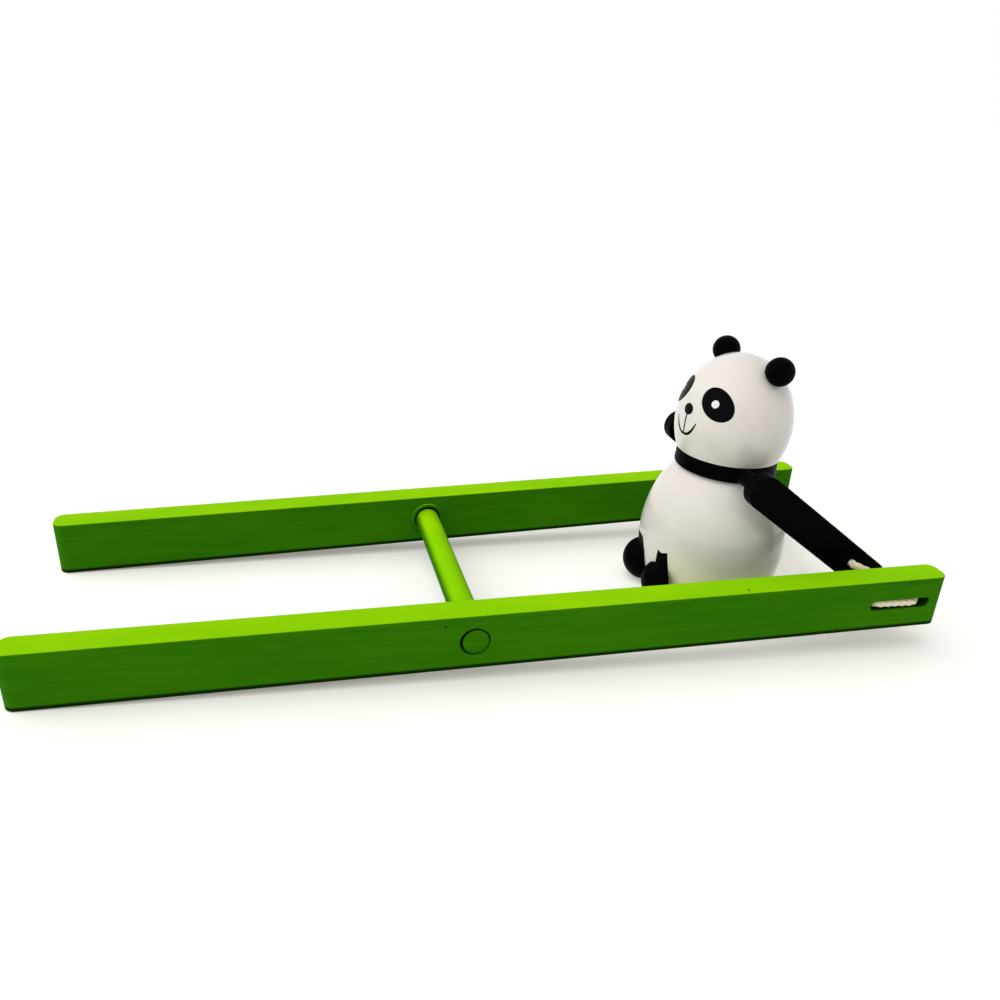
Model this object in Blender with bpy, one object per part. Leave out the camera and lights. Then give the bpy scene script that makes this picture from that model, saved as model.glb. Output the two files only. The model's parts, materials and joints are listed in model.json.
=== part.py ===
"""Pull-string panda toy: two wooden rails on a crossbar, squeezed at one end so that a panda on a string somersaults.

Metres, +Z up. +X runs from the handle ends to the string ends, and the panda faces -X.
The origin is on the floor, under the middle of the toy. left and right are the panda's own, so left is -Y.
"""

import math

import bmesh
import bpy
from mathutils import Matrix, Vector

# Rails: a rail's own X starts at the crossbar
RAIL_HEIGHT = 0.0172
RAIL_THICKNESS = 0.0086
HANDLE_REACH = 0.1204
STRING_REACH = 0.1492
RAIL_SPREAD = 0.0867
RAIL_SPLAY = math.radians(1.72)
RAIL_LIFT = math.radians(2.0)
RAIL_CORNER = 0.0030
RAIL_EASE = 0.0004

# Crossbar, loose in a hole through each rail
CROSSBAR_DIAMETER = 0.0080
PIVOT_PLAY = 0.0003
CROSSBAR_END_RECESS = 0.0003
CROSSBAR_EASE = 0.0004

# String: a cotton cord threaded through two holes in each rail and two in each hand
CORD_DIAMETER = 0.0025
CORD_HOLE_DIAMETER = 0.0034
CORD_BEND_RADIUS = 0.0019
CORD_BEND_REACH = 0.0024
CORD_BEND_SHARE = 0.36
RAIL_HOLE_FROM_END = 0.0066
RAIL_HOLE_SPACING = 0.0172
HAND_HOLE_SPACING = 0.0105
SLOT_WIDTH = 0.0035
SLOT_DEPTH = 0.0031
CORD_SUNK = 0.0002
KNOT_LENGTH = 0.0048
KNOT_WIDTH = 0.0029
KNOT_DEPTH = 0.0032

# Panda, turned about an upright axis
PANDA_REACH = 0.0924
BODY_RADIUS = 0.0243
BODY_WAIST_Z = 0.0199
BODY_UPPER_RISE = 0.0328
BODY_LOWER_DROP = 0.0295
BODY_BASE_ROUND = 0.0010
RING_BOTTOM_Z = 0.0459
RING_HEIGHT = 0.0051
RING_BOTTOM_RADIUS = 0.0166
RING_TOP_RADIUS = 0.0163
RING_ROUND = 0.0004
HEAD_RADIUS = 0.0187
HEAD_HALF_HEIGHT = 0.0223
HEAD_CENTRE_Z = 0.0612
HEAD_TURN = math.radians(8.5)
NECK_DOWEL_DIAMETER = 0.0060
NECK_DOWEL_DEPTH = 0.0080

# Ears: balls that sit in the head, each on a peg
EAR_DIAMETER = 0.0090
EAR_PLACE = Vector((0.0027, 0.0134, 0.0201))
EAR_PEG_DIAMETER = 0.0024
EAR_PEG_DEPTH = 0.0050
EAR_PEG_INSERT = 0.0024

# Feet: flat-backed balls in round seats cut into the body, each on a peg
FOOT_DIAMETER = 0.0150
FOOT_FORWARD = 0.0193
FOOT_SPACING = 0.0163
FOOT_CUT = 0.0016
FOOT_FLOOR_GAP = 0.0001
FOOT_PEG_DIAMETER = 0.0030
FOOT_PEG_DEPTH = 0.0070
FOOT_PEG_INSERT = 0.0040

# Arms: round-ended strips, each on a peg that a spacer keeps clear of the belly
ARM_THICKNESS = 0.0052
ARM_WIDTH = 0.0109
ARM_REACH = 0.0547
ARM_INNER_FACE = 0.0262
ARM_SLOPE = math.radians(34.8)
ARM_EASE = 0.0006
SHOULDER_FORWARD = 0.0029
SHOULDER_Z = 0.0489
SHOULDER_PEG_DIAMETER = 0.0030
SHOULDER_PEG_DEPTH = 0.0060
SPACER_DIAMETER = 0.0052
SPACER_SETBACK = 0.0006

# Clearance between pieces that are glued or pinned together
SEAT_GAP = 0.0003

ROUND_STEPS = 36
PROFILE_STEPS = 12
BALL_STEPS = 20
PEG_STEPS = 16
CORNER_STEPS = 4
CORD_STEPS = 18
OVERSHOOT = 0.0020
WELD_DISTANCE = 0.00001
SMOOTH_ANGLE = math.radians(40.0)

LEFT = -1
RIGHT = 1
SIDE_NAMES = {LEFT: "left", RIGHT: "right"}

GREEN = ("green_paint", (0.095, 0.42, 0.005, 1.0), 0.45)
WHITE = ("white_lacquer", (0.86, 0.84, 0.82, 1.0), 0.18)
BLACK = ("black_paint", (0.010, 0.010, 0.011, 1.0), 0.38)
CREAM = ("cotton", (0.78, 0.66, 0.42, 1.0), 0.90)
BARE = ("bare_wood", (0.66, 0.50, 0.32, 1.0), 0.60)

# Places that follow from the sizes above
LIFTED_HANDLE = HANDLE_REACH * math.cos(RAIL_SPLAY)
CROSSBAR_X = -0.5 * (
    (STRING_REACH - HANDLE_REACH) * math.cos(RAIL_SPLAY) * math.cos(RAIL_LIFT)
    - RAIL_HEIGHT * math.sin(RAIL_LIFT)
)
CROSSBAR_Z = LIFTED_HANDLE * math.sin(RAIL_LIFT) + 0.5 * RAIL_HEIGHT * math.cos(RAIL_LIFT)
PIVOT_Y = 0.5 * (RAIL_SPREAD - RAIL_THICKNESS)
REAR_HOLE_X = STRING_REACH - RAIL_HOLE_FROM_END
FRONT_HOLE_X = REAR_HOLE_X - RAIL_HOLE_SPACING
PANDA_X = CROSSBAR_X + PANDA_REACH
RING_TOP_Z = RING_BOTTOM_Z + RING_HEIGHT
SHOULDER_X = PANDA_X - SHOULDER_FORWARD
ARM_MIDDLE = ARM_INNER_FACE + 0.5 * ARM_THICKNESS
ARM_OUTER_FACE = ARM_INNER_FACE + ARM_THICKNESS
ARM_AXIS = Vector((math.cos(ARM_SLOPE), 0.0, -math.sin(ARM_SLOPE)))
SHOULDER = Vector((SHOULDER_X, 0.0, SHOULDER_Z))
REAR_HAND_HOLE = SHOULDER + ARM_AXIS * ARM_REACH
FRONT_HAND_HOLE = SHOULDER + ARM_AXIS * (ARM_REACH - HAND_HOLE_SPACING)
SWING_AXIS = 0.5 * (REAR_HAND_HOLE + FRONT_HAND_HOLE)
HEAD_CENTRE = Vector((PANDA_X, 0.0, HEAD_CENTRE_Z))

FRAME_MATRIX = Matrix.Translation((CROSSBAR_X, 0.0, CROSSBAR_Z)) @ Matrix.Rotation(-RAIL_LIFT, 4, "Y")


# Scene and object helpers

def clear_scene():
    for thing in list(bpy.data.objects):
        bpy.data.objects.remove(thing, do_unlink=True)


def material_for(finish):
    name, colour, roughness = finish
    material = bpy.data.materials.get(name)
    if material is None:
        material = bpy.data.materials.new(name)
        material.use_nodes = True
        material.diffuse_color = colour
        shader = material.node_tree.nodes["Principled BSDF"]
        shader.inputs["Base Color"].default_value = colour
        shader.inputs["Roughness"].default_value = roughness
        shader.inputs["Metallic"].default_value = 0.0
    return material


def add_empty(name, matrix, parent=None):
    empty = bpy.data.objects.new(name, None)
    bpy.context.collection.objects.link(empty)
    empty.parent = parent
    empty.matrix_basis = matrix
    return empty


def add_piece(name, data, finish=None, parent=None, place=None):
    piece = bpy.data.objects.new(name, data)
    bpy.context.collection.objects.link(piece)
    piece.parent = parent
    piece.matrix_basis = place if place is not None else Matrix.Identity(4)
    if finish is not None:
        data.materials.append(material_for(finish))
    return piece


def mesh_from(build, name):
    mesh = bpy.data.meshes.new(name)
    shape = bmesh.new()
    build(shape)
    bmesh.ops.recalc_face_normals(shape, faces=shape.faces)
    shape.to_mesh(mesh)
    shape.free()
    mesh.shade_smooth()
    mesh.set_sharp_from_angle(angle=SMOOTH_ANGLE)
    return mesh


def turned_mesh(name, profile, steps):
    """A solid turned about Z from (radius, height) points, the first and last of them on the axis."""
    def build(shape):
        points = [shape.verts.new((radius, 0.0, height)) for radius, height in profile]
        edges = [shape.edges.new(pair) for pair in zip(points, points[1:])]
        bmesh.ops.spin(shape, geom=points + edges, cent=(0.0, 0.0, 0.0), axis=(0.0, 0.0, 1.0),
                       angle=2.0 * math.pi, steps=steps, use_duplicate=False)
        bmesh.ops.remove_doubles(shape, verts=shape.verts, dist=WELD_DISTANCE)
    return mesh_from(build, name)


def extruded_mesh(name, outline, depth):
    """A solid with an (x, z) outline, extruded along Y and centred on it."""
    def build(shape):
        face = shape.faces.new([shape.verts.new((x, -0.5 * depth, z)) for x, z in outline])
        grown = bmesh.ops.extrude_face_region(shape, geom=[face])
        moved = [item for item in grown["geom"] if isinstance(item, bmesh.types.BMVert)]
        bmesh.ops.translate(shape, verts=moved, vec=(0.0, depth, 0.0))
    return mesh_from(build, name)


def arc_points(centre_x, centre_z, radius, start, end, steps):
    return [
        (centre_x + radius * math.cos(start + (end - start) * i / steps),
         centre_z + radius * math.sin(start + (end - start) * i / steps))
        for i in range(steps + 1)
    ]


def stadium(start_x, end_x, radius, steps):
    """The outline of a strip with full-round ends, from start_x to end_x along X."""
    return (arc_points(end_x, 0.0, radius, -math.pi / 2, math.pi / 2, steps)
            + arc_points(start_x, 0.0, radius, math.pi / 2, 3 * math.pi / 2, steps))


def add_bevel(piece, width, segments):
    bevel = piece.modifiers.new("eased_edges", "BEVEL")
    bevel.width = width
    bevel.segments = segments
    bevel.limit_method = "ANGLE"
    bevel.angle_limit = math.radians(50.0)
    bevel.harden_normals = False


def cut(piece, cutter):
    cutter.hide_render = True
    cutter.display_type = "WIRE"
    boolean = piece.modifiers.new("cut_" + cutter.name, "BOOLEAN")
    boolean.operation = "DIFFERENCE"
    boolean.solver = "EXACT"
    boolean.object = cutter


def rod_mesh(name, radius, length, ease=0.0, steps=PEG_STEPS):
    """A round rod along Z, from 0 to length, with eased rims."""
    profile = [(0.0, 0.0), (radius - ease, 0.0)]
    if ease > 0.0:
        profile.append((radius, ease))
        profile.append((radius, length - ease))
    else:
        profile.append((radius, 0.0))
        profile.append((radius, length))
    profile.append((radius - ease, length))
    profile.append((0.0, length))
    distinct = [point for i, point in enumerate(profile) if i == 0 or point != profile[i - 1]]
    return turned_mesh(name, distinct, steps)


def along(start, direction):
    """The placement of a thing made along Z from the origin: starts at start and runs along direction."""
    turn = Vector((0.0, 0.0, 1.0)).rotation_difference(direction.normalized())
    return Matrix.Translation(start) @ turn.to_matrix().to_4x4()


def add_hole(piece, name, radius, start, end, parent=None, steps=PEG_STEPS):
    """Cuts a round hole from start to end, both in the parent's frame, with a little more at the start."""
    direction = (end - start).normalized()
    begin = start - direction * OVERSHOOT
    mesh = rod_mesh(name, radius, (end - begin).length, steps=steps)
    cut(piece, add_piece(name, mesh, parent=parent, place=along(begin, direction)))


# Rails and crossbar

def rail_outline():
    """The rail from above, as (x, y) points, with rounded upright corners."""
    half = 0.5 * RAIL_THICKNESS
    corners = [
        (STRING_REACH - RAIL_CORNER, half - RAIL_CORNER, 0.0),
        (-HANDLE_REACH + RAIL_CORNER, half - RAIL_CORNER, math.pi / 2),
        (-HANDLE_REACH + RAIL_CORNER, -half + RAIL_CORNER, math.pi),
        (STRING_REACH - RAIL_CORNER, -half + RAIL_CORNER, 3 * math.pi / 2),
    ]
    points = []
    for x, y, start in corners:
        points += arc_points(x, y, RAIL_CORNER, start, start + math.pi / 2, CORNER_STEPS)
    return points


def rail_mesh():
    def build(shape):
        face = shape.faces.new([shape.verts.new((x, y, -0.5 * RAIL_HEIGHT)) for x, y in rail_outline()])
        grown = bmesh.ops.extrude_face_region(shape, geom=[face])
        moved = [item for item in grown["geom"] if isinstance(item, bmesh.types.BMVert)]
        bmesh.ops.translate(shape, verts=moved, vec=(0.0, 0.0, RAIL_HEIGHT))
    return mesh_from(build, "rail")


def rail_matrix(side):
    """A rail's place in the toy's lifted frame: on its pivot, turned out by the splay."""
    return Matrix.Translation((0.0, side * PIVOT_Y, 0.0)) @ Matrix.Rotation(side * RAIL_SPLAY, 4, "Z")


def add_rail(side, frame):
    name = SIDE_NAMES[side] + "_rail"
    rail = add_piece(name, rail_mesh(), GREEN, frame, rail_matrix(side))
    add_bevel(rail, RAIL_EASE, 2)
    across = Vector((0.0, side, 0.0))
    inner = -0.5 * RAIL_THICKNESS * across
    outer = (0.5 * RAIL_THICKNESS + OVERSHOOT) * across
    add_hole(rail, name + "_pivot_cut", 0.5 * CROSSBAR_DIAMETER + PIVOT_PLAY, inner, outer, rail, ROUND_STEPS)
    slot = extruded_mesh(name + "_slot_cut", stadium(FRONT_HOLE_X, REAR_HOLE_X, 0.5 * SLOT_WIDTH, 6),
                         SLOT_DEPTH + OVERSHOOT)
    slot_y = side * (0.5 * RAIL_THICKNESS - SLOT_DEPTH + 0.5 * (SLOT_DEPTH + OVERSHOOT))
    cut(rail, add_piece(name + "_slot_cut", slot, parent=rail, place=Matrix.Translation((0.0, slot_y, 0.0))))
    for label, x in (("front", FRONT_HOLE_X), ("rear", REAR_HOLE_X)):
        at = Vector((x, 0.0, 0.0))
        add_hole(rail, f"{name}_{label}_hole_cut", 0.5 * CORD_HOLE_DIAMETER, at + inner, at + outer, rail)
    return rail


def add_crossbar(frame):
    length = RAIL_SPREAD - 2.0 * CROSSBAR_END_RECESS
    mesh = rod_mesh("crossbar", 0.5 * CROSSBAR_DIAMETER, length, CROSSBAR_EASE, ROUND_STEPS)
    start = Vector((0.0, -0.5 * length, 0.0))
    return add_piece("crossbar", mesh, GREEN, frame, along(start, Vector((0.0, 1.0, 0.0))))


# Panda

def body_profile():
    """The pear-shaped body from the axis at its base, up its side, to the neck hole in its top."""
    base_angle = math.asin(-(BODY_WAIST_Z - BODY_BASE_ROUND) / BODY_LOWER_DROP)
    top_z = RING_BOTTOM_Z - SEAT_GAP
    top_angle = math.asin((top_z - BODY_WAIST_Z) / BODY_UPPER_RISE)
    rim_radius = BODY_RADIUS * math.cos(base_angle)
    hole = 0.5 * NECK_DOWEL_DIAMETER + SEAT_GAP
    profile = [(0.0, 0.0), (rim_radius - BODY_BASE_ROUND, 0.0)]
    for i in range(PROFILE_STEPS // 2):
        angle = base_angle * (1.0 - i / (PROFILE_STEPS // 2))
        profile.append((BODY_RADIUS * math.cos(angle), BODY_WAIST_Z + BODY_LOWER_DROP * math.sin(angle)))
    for i in range(PROFILE_STEPS + 1):
        angle = top_angle * i / PROFILE_STEPS
        profile.append((BODY_RADIUS * math.cos(angle), BODY_WAIST_Z + BODY_UPPER_RISE * math.sin(angle)))
    profile.append((hole, top_z))
    profile.append((hole, top_z - NECK_DOWEL_DEPTH - SEAT_GAP))
    profile.append((0.0, top_z - NECK_DOWEL_DEPTH - SEAT_GAP))
    return profile


def head_outer(grow, start_angle):
    """The head's egg-shaped side, grown outward by grow, from start_angle up to the crown."""
    return [
        ((HEAD_RADIUS + grow) * math.cos(start_angle + (math.pi / 2 - start_angle) * i / PROFILE_STEPS),
         (HEAD_HALF_HEIGHT + grow) * math.sin(start_angle + (math.pi / 2 - start_angle) * i / PROFILE_STEPS))
        for i in range(PROFILE_STEPS)
    ] + [(0.0, HEAD_HALF_HEIGHT + grow)]


def head_profile():
    bottom = RING_TOP_Z + SEAT_GAP - HEAD_CENTRE_Z
    hole = 0.5 * NECK_DOWEL_DIAMETER + SEAT_GAP
    inside = [
        (0.0, bottom + NECK_DOWEL_DEPTH + SEAT_GAP),
        (hole, bottom + NECK_DOWEL_DEPTH + SEAT_GAP),
        (hole, bottom),
    ]
    return inside + head_outer(0.0, math.asin(bottom / HEAD_HALF_HEIGHT))


def ring_profile():
    """The neck ring: a slightly tapered disc with rounded rims and a hole for the neck dowel."""
    hole = 0.5 * NECK_DOWEL_DIAMETER + SEAT_GAP
    rounded = RING_ROUND * (1.0 - math.sqrt(0.5))
    return [
        (hole, 0.0),
        (RING_BOTTOM_RADIUS - RING_ROUND, 0.0),
        (RING_BOTTOM_RADIUS - rounded, rounded),
        (RING_BOTTOM_RADIUS, RING_ROUND),
        (RING_TOP_RADIUS, RING_HEIGHT - RING_ROUND),
        (RING_TOP_RADIUS - rounded, RING_HEIGHT - rounded),
        (RING_TOP_RADIUS - RING_ROUND, RING_HEIGHT),
        (hole, RING_HEIGHT),
        (hole, 0.0),
    ]


def add_body(panda):
    place = Matrix.Translation((PANDA_X - SHOULDER_X, 0.0, -SHOULDER_Z))
    body = add_piece("body", turned_mesh("body", body_profile(), ROUND_STEPS), WHITE, panda, place)
    for side in (LEFT, RIGHT):
        centre = Vector((-FOOT_FORWARD, side * 0.5 * FOOT_SPACING, 0.5 * FOOT_DIAMETER + FOOT_FLOOR_GAP))
        seat = Vector((-FOOT_FORWARD - FOOT_CUT + SEAT_GAP, centre.y, centre.z))
        front = seat - Vector((0.5 * FOOT_DIAMETER, 0.0, 0.0))
        name = SIDE_NAMES[side] + "_foot"
        add_hole(body, name + "_seat_cut", 0.5 * FOOT_DIAMETER + SEAT_GAP, front, seat, body, 2 * BALL_STEPS)
        deep = seat + Vector((FOOT_PEG_DEPTH + SEAT_GAP, 0.0, 0.0))
        add_hole(body, name + "_peg_cut", 0.5 * FOOT_PEG_DIAMETER + SEAT_GAP, seat, deep, body)
        add_foot(name, centre, body)
    return body


def ball_profile(radius, cut_height):
    """A ball's outline from a flat at cut_height above its centre up to its crown."""
    end = math.asin(cut_height / radius)
    outline = arc_points(0.0, 0.0, radius, end, math.pi / 2, PROFILE_STEPS)
    outline[-1] = (0.0, radius)
    return [(0.0, cut_height)] + outline


def add_foot(name, centre, body):
    forward = Vector((-1.0, 0.0, 0.0))
    mesh = turned_mesh(name, ball_profile(0.5 * FOOT_DIAMETER, FOOT_CUT), BALL_STEPS)
    foot = add_piece(name, mesh, BLACK, body, along(centre, forward))
    flat = Vector((0.0, 0.0, FOOT_CUT))
    tip = Vector((0.0, 0.0, FOOT_CUT + FOOT_PEG_INSERT + SEAT_GAP))
    add_hole(foot, name + "_bore_cut", 0.5 * FOOT_PEG_DIAMETER + SEAT_GAP, flat, tip, foot)
    peg_length = FOOT_PEG_INSERT + FOOT_PEG_DEPTH + SEAT_GAP
    peg = rod_mesh(name + "_peg", 0.5 * FOOT_PEG_DIAMETER, peg_length)
    start = centre + forward * (FOOT_PEG_INSERT + FOOT_CUT)
    add_piece(name + "_peg", peg, BARE, body, along(start, -forward))


def add_ring_and_neck(panda):
    ring_place = Matrix.Translation((PANDA_X - SHOULDER_X, 0.0, RING_BOTTOM_Z - SHOULDER_Z))
    ring = add_piece("neck_ring", turned_mesh("neck_ring", ring_profile(), ROUND_STEPS), BLACK, panda, ring_place)
    for side in (LEFT, RIGHT):
        surface = Vector((-SHOULDER_FORWARD, side * RING_BOTTOM_RADIUS, SHOULDER_Z - RING_BOTTOM_Z))
        deep = Vector((-SHOULDER_FORWARD, side * peg_inner_end(), SHOULDER_Z - RING_BOTTOM_Z))
        radius = 0.5 * SHOULDER_PEG_DIAMETER + SEAT_GAP
        add_hole(ring, SIDE_NAMES[side] + "_shoulder_cut", radius, surface, deep, ring)
    dowel_start = RING_BOTTOM_Z - SEAT_GAP - NECK_DOWEL_DEPTH
    dowel_length = RING_HEIGHT + 2.0 * (SEAT_GAP + NECK_DOWEL_DEPTH)
    dowel = rod_mesh("neck_dowel", 0.5 * NECK_DOWEL_DIAMETER, dowel_length)
    place = Matrix.Translation((PANDA_X - SHOULDER_X, 0.0, dowel_start - SHOULDER_Z))
    add_piece("neck_dowel", dowel, BARE, panda, place)


def peg_inner_end():
    """How far from the middle a shoulder peg's hole ends inside the neck ring."""
    return RING_TOP_RADIUS - SHOULDER_PEG_DEPTH - SEAT_GAP


def add_shoulder(side, panda):
    name = SIDE_NAMES[side] + "_shoulder"
    out = Vector((0.0, side, 0.0))
    peg_start = peg_inner_end() + SEAT_GAP
    peg_length = ARM_OUTER_FACE - SEAT_GAP - peg_start
    peg = rod_mesh(name + "_peg", 0.5 * SHOULDER_PEG_DIAMETER, peg_length)
    add_piece(name + "_peg", peg, BLACK, panda, along(out * peg_start, out))
    spacer_start = RING_TOP_RADIUS + SPACER_SETBACK
    spacer_end = ARM_INNER_FACE - SEAT_GAP
    spacer = turned_mesh(name + "_spacer", spacer_profile(spacer_end - spacer_start), PEG_STEPS)
    add_piece(name + "_spacer", spacer, BLACK, panda, along(out * spacer_start, out))


def spacer_profile(length):
    """A short turned sleeve on the shoulder peg."""
    bore = 0.5 * SHOULDER_PEG_DIAMETER + SEAT_GAP
    outer = 0.5 * SPACER_DIAMETER
    return [(bore, 0.0), (outer, 0.0), (outer, length), (bore, length), (bore, 0.0)]


def add_head(panda):
    turn = Matrix.Translation(HEAD_CENTRE - SHOULDER) @ Matrix.Rotation(HEAD_TURN, 4, "Z")
    head = add_piece("head", turned_mesh("head", head_profile(), ROUND_STEPS), WHITE, panda, turn)
    for side in (LEFT, RIGHT):
        add_ear(side, head)
    return head


def add_ear(side, head):
    name = SIDE_NAMES[side] + "_ear"
    centre = Vector((EAR_PLACE.x, side * EAR_PLACE.y, EAR_PLACE.z))
    normal = Vector((centre.x / HEAD_RADIUS ** 2, centre.y / HEAD_RADIUS ** 2, centre.z / HEAD_HALF_HEIGHT ** 2))
    normal.normalize()
    ball = turned_mesh(name, ball_outline(0.5 * EAR_DIAMETER), BALL_STEPS)
    ear = add_piece(name, ball, BLACK, head, along(centre, normal))
    seat = turned_mesh(name + "_seat_cut", [(0.0, -HEAD_HALF_HEIGHT)] + head_outer(SEAT_GAP, 0.0), 2 * ROUND_STEPS)
    cut(ear, add_piece(name + "_seat_cut", seat, parent=head))
    radius = 0.5 * EAR_PEG_DIAMETER + SEAT_GAP
    outer_end = centre + normal * (EAR_PEG_INSERT - 0.5 * EAR_DIAMETER + SEAT_GAP)
    inner_end = centre - normal * (0.5 * EAR_DIAMETER + EAR_PEG_DEPTH + SEAT_GAP)
    add_hole(head, name + "_socket_cut", radius, centre, inner_end, head)
    add_hole(ear, name + "_bore_cut", radius, centre - normal * 0.5 * EAR_DIAMETER, outer_end, head)
    start = inner_end + normal * SEAT_GAP
    length = (outer_end - inner_end).length - 2.0 * SEAT_GAP
    add_piece(name + "_peg", rod_mesh(name + "_peg", 0.5 * EAR_PEG_DIAMETER, length), BARE, head, along(start, normal))


def ball_outline(radius):
    outline = arc_points(0.0, 0.0, radius, -math.pi / 2, math.pi / 2, PROFILE_STEPS)
    outline[0] = (0.0, -radius)
    outline[-1] = (0.0, radius)
    return outline


# Arms

def add_arm(side, pivot, shoulder_offset):
    """An arm made along +X from its shoulder hole; shoulder_offset is the shoulder seen from the pivot."""
    name = SIDE_NAMES[side] + "_arm"
    mesh = extruded_mesh(name, stadium(0.0, ARM_REACH, 0.5 * ARM_WIDTH, 8), ARM_THICKNESS)
    place = (Matrix.Translation(shoulder_offset + Vector((0.0, side * ARM_MIDDLE, 0.0)))
             @ Matrix.Rotation(ARM_SLOPE, 4, "Y"))
    arm = add_piece(name, mesh, BLACK, pivot, place)
    add_bevel(arm, ARM_EASE, 2)
    half = Vector((0.0, 0.5 * ARM_THICKNESS, 0.0))
    far = half + Vector((0.0, OVERSHOOT, 0.0))
    holes = (
        ("shoulder", 0.0, 0.5 * SHOULDER_PEG_DIAMETER + SEAT_GAP),
        ("front", ARM_REACH - HAND_HOLE_SPACING, 0.5 * CORD_HOLE_DIAMETER),
        ("rear", ARM_REACH, 0.5 * CORD_HOLE_DIAMETER),
    )
    for label, x, radius in holes:
        at = Vector((x, 0.0, 0.0))
        add_hole(arm, f"{name}_{label}_hole_cut", radius, at - half, at + far, arm)


# String

def add_cord(name, points, origin, parent):
    """A round cord through points; origin is the parent's place, in the frame that the points are in."""
    curve = bpy.data.curves.new(name, "CURVE")
    curve.dimensions = "3D"
    curve.bevel_depth = 0.5 * CORD_DIAMETER
    curve.bevel_resolution = 2
    curve.use_fill_caps = True
    spline = curve.splines.new("POLY")
    spline.points.add(len(points) - 1)
    for control, point in zip(spline.points, points):
        control.co = (*(point - origin), 1.0)
    return add_piece(name, curve, CREAM, parent)


def anchor_path(side, start_x, end_x, finish_x):
    """The cord in a rail, from its inner face out through the hole at start_x and along the slot.

    It goes back through the hole at end_x, or stops at finish_x where that is given.
    """
    inner = -side * 0.5 * RAIL_THICKNESS
    slot_y = side * (0.5 * RAIL_THICKNESS - CORD_SUNK - 0.5 * CORD_DIAMETER)
    run = math.copysign(1.0, end_x - start_x)
    points = [Vector((start_x, inner, 0.0))]
    points += [
        Vector((start_x + run * CORD_BEND_RADIUS * (1.0 - math.cos(turn)),
                slot_y - side * CORD_BEND_RADIUS * (1.0 - math.sin(turn)), 0.0))
        for turn in (math.pi / 2 * i / 4 for i in range(5))
    ]
    if finish_x is not None:
        return points + [Vector((finish_x, slot_y, 0.0))]
    back = [Vector((start_x + end_x - point.x, point.y, 0.0)) for point in reversed(points)]
    return points + back


def crossing_path(side, hand_hole, rail_hole_x):
    """A strand from a hand's outer face to a rail's inner face, bending into both holes.

    The bends reach further where there is more room between the hand and the rail.
    """
    start = Vector((hand_hole.x, side * (ARM_OUTER_FACE + SEAT_GAP), hand_hole.z))
    local = Vector((rail_hole_x, -side * (0.5 * RAIL_THICKNESS + SEAT_GAP), 0.0))
    end = FRAME_MATRIX @ rail_matrix(side) @ local
    room = side * (end.y - start.y)
    reach = Vector((0.0, side * (CORD_BEND_REACH + CORD_BEND_SHARE * room), 0.0))
    points = []
    for i in range(CORD_STEPS + 1):
        t = i / CORD_STEPS
        points.append(
            start * (1 - t) ** 3 + (start + reach) * 3 * t * (1 - t) ** 2
            + (end - reach) * 3 * t ** 2 * (1 - t) + end * t ** 3
        )
    return points


def add_string(rails, frame, pivot):
    add_cord("left_string_loop", anchor_path(LEFT, FRONT_HOLE_X, REAR_HOLE_X, None), Vector(), rails[LEFT])
    middle = 0.5 * (FRONT_HOLE_X + REAR_HOLE_X)
    stop = 0.5 * KNOT_LENGTH + SEAT_GAP
    front = anchor_path(RIGHT, FRONT_HOLE_X, REAR_HOLE_X, middle - stop)
    rear = anchor_path(RIGHT, REAR_HOLE_X, FRONT_HOLE_X, middle + stop)
    add_cord("right_string_front_end", front, Vector(), rails[RIGHT])
    add_cord("right_string_rear_end", rear, Vector(), rails[RIGHT])
    add_knot(middle, rails[RIGHT])
    to_frame = FRAME_MATRIX.inverted()
    for side in (LEFT, RIGHT):
        name = SIDE_NAMES[side] + "_crossing_"
        for label, hand_hole, rail_x in (("front", FRONT_HAND_HOLE, REAR_HOLE_X), ("rear", REAR_HAND_HOLE, FRONT_HOLE_X)):
            path = [to_frame @ point for point in crossing_path(side, hand_hole, rail_x)]
            add_cord(name + label, path, Vector(), frame)
    for label, hole in (("front", FRONT_HAND_HOLE), ("rear", REAR_HAND_HOLE)):
        path = [Vector((hole.x, y, hole.z)) for y in (-ARM_OUTER_FACE, ARM_OUTER_FACE)]
        add_cord("hand_string_" + label, path, SWING_AXIS, pivot)


def add_knot(middle, rail):
    """The knot that closes the loop of string, pulled into the right rail's slot."""
    mesh = turned_mesh("string_knot", ball_outline(0.5), PEG_STEPS)
    size = Matrix.Diagonal((KNOT_WIDTH, KNOT_DEPTH, KNOT_LENGTH, 1.0))
    mesh.transform(Matrix.Rotation(math.pi / 2, 4, "Y") @ size)
    knot_y = 0.5 * RAIL_THICKNESS - CORD_SUNK - 0.5 * CORD_DIAMETER
    add_piece("string_knot", mesh, CREAM, rail, Matrix.Translation((middle, knot_y, 0.0)))


def main():
    clear_scene()
    frame = add_empty("lifted_frame", FRAME_MATRIX)
    rails = {side: add_rail(side, frame) for side in (LEFT, RIGHT)}
    add_crossbar(frame)
    pivot = add_empty("arm_pivot", Matrix.Translation(SWING_AXIS))
    panda = add_empty("panda_pivot", Matrix.Translation(SHOULDER))
    add_arm(LEFT, pivot, SHOULDER - SWING_AXIS)
    add_arm(RIGHT, panda, Vector())
    add_body(panda)
    add_ring_and_neck(panda)
    for side in (LEFT, RIGHT):
        add_shoulder(side, panda)
    add_head(panda)
    add_string(rails, frame, pivot)
    bpy.context.view_layer.update()


main()
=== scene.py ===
"""Looks of the pull-string panda toy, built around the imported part.

Metres, +Z up, in the part's own frame: +X runs to the string ends and the panda faces -X.
left and right are the panda's own, so left is -Y, the side nearest the camera.
"""

import json
import math

import bmesh
import bpy
import numpy as np
from mathutils import Matrix, Vector


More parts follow.
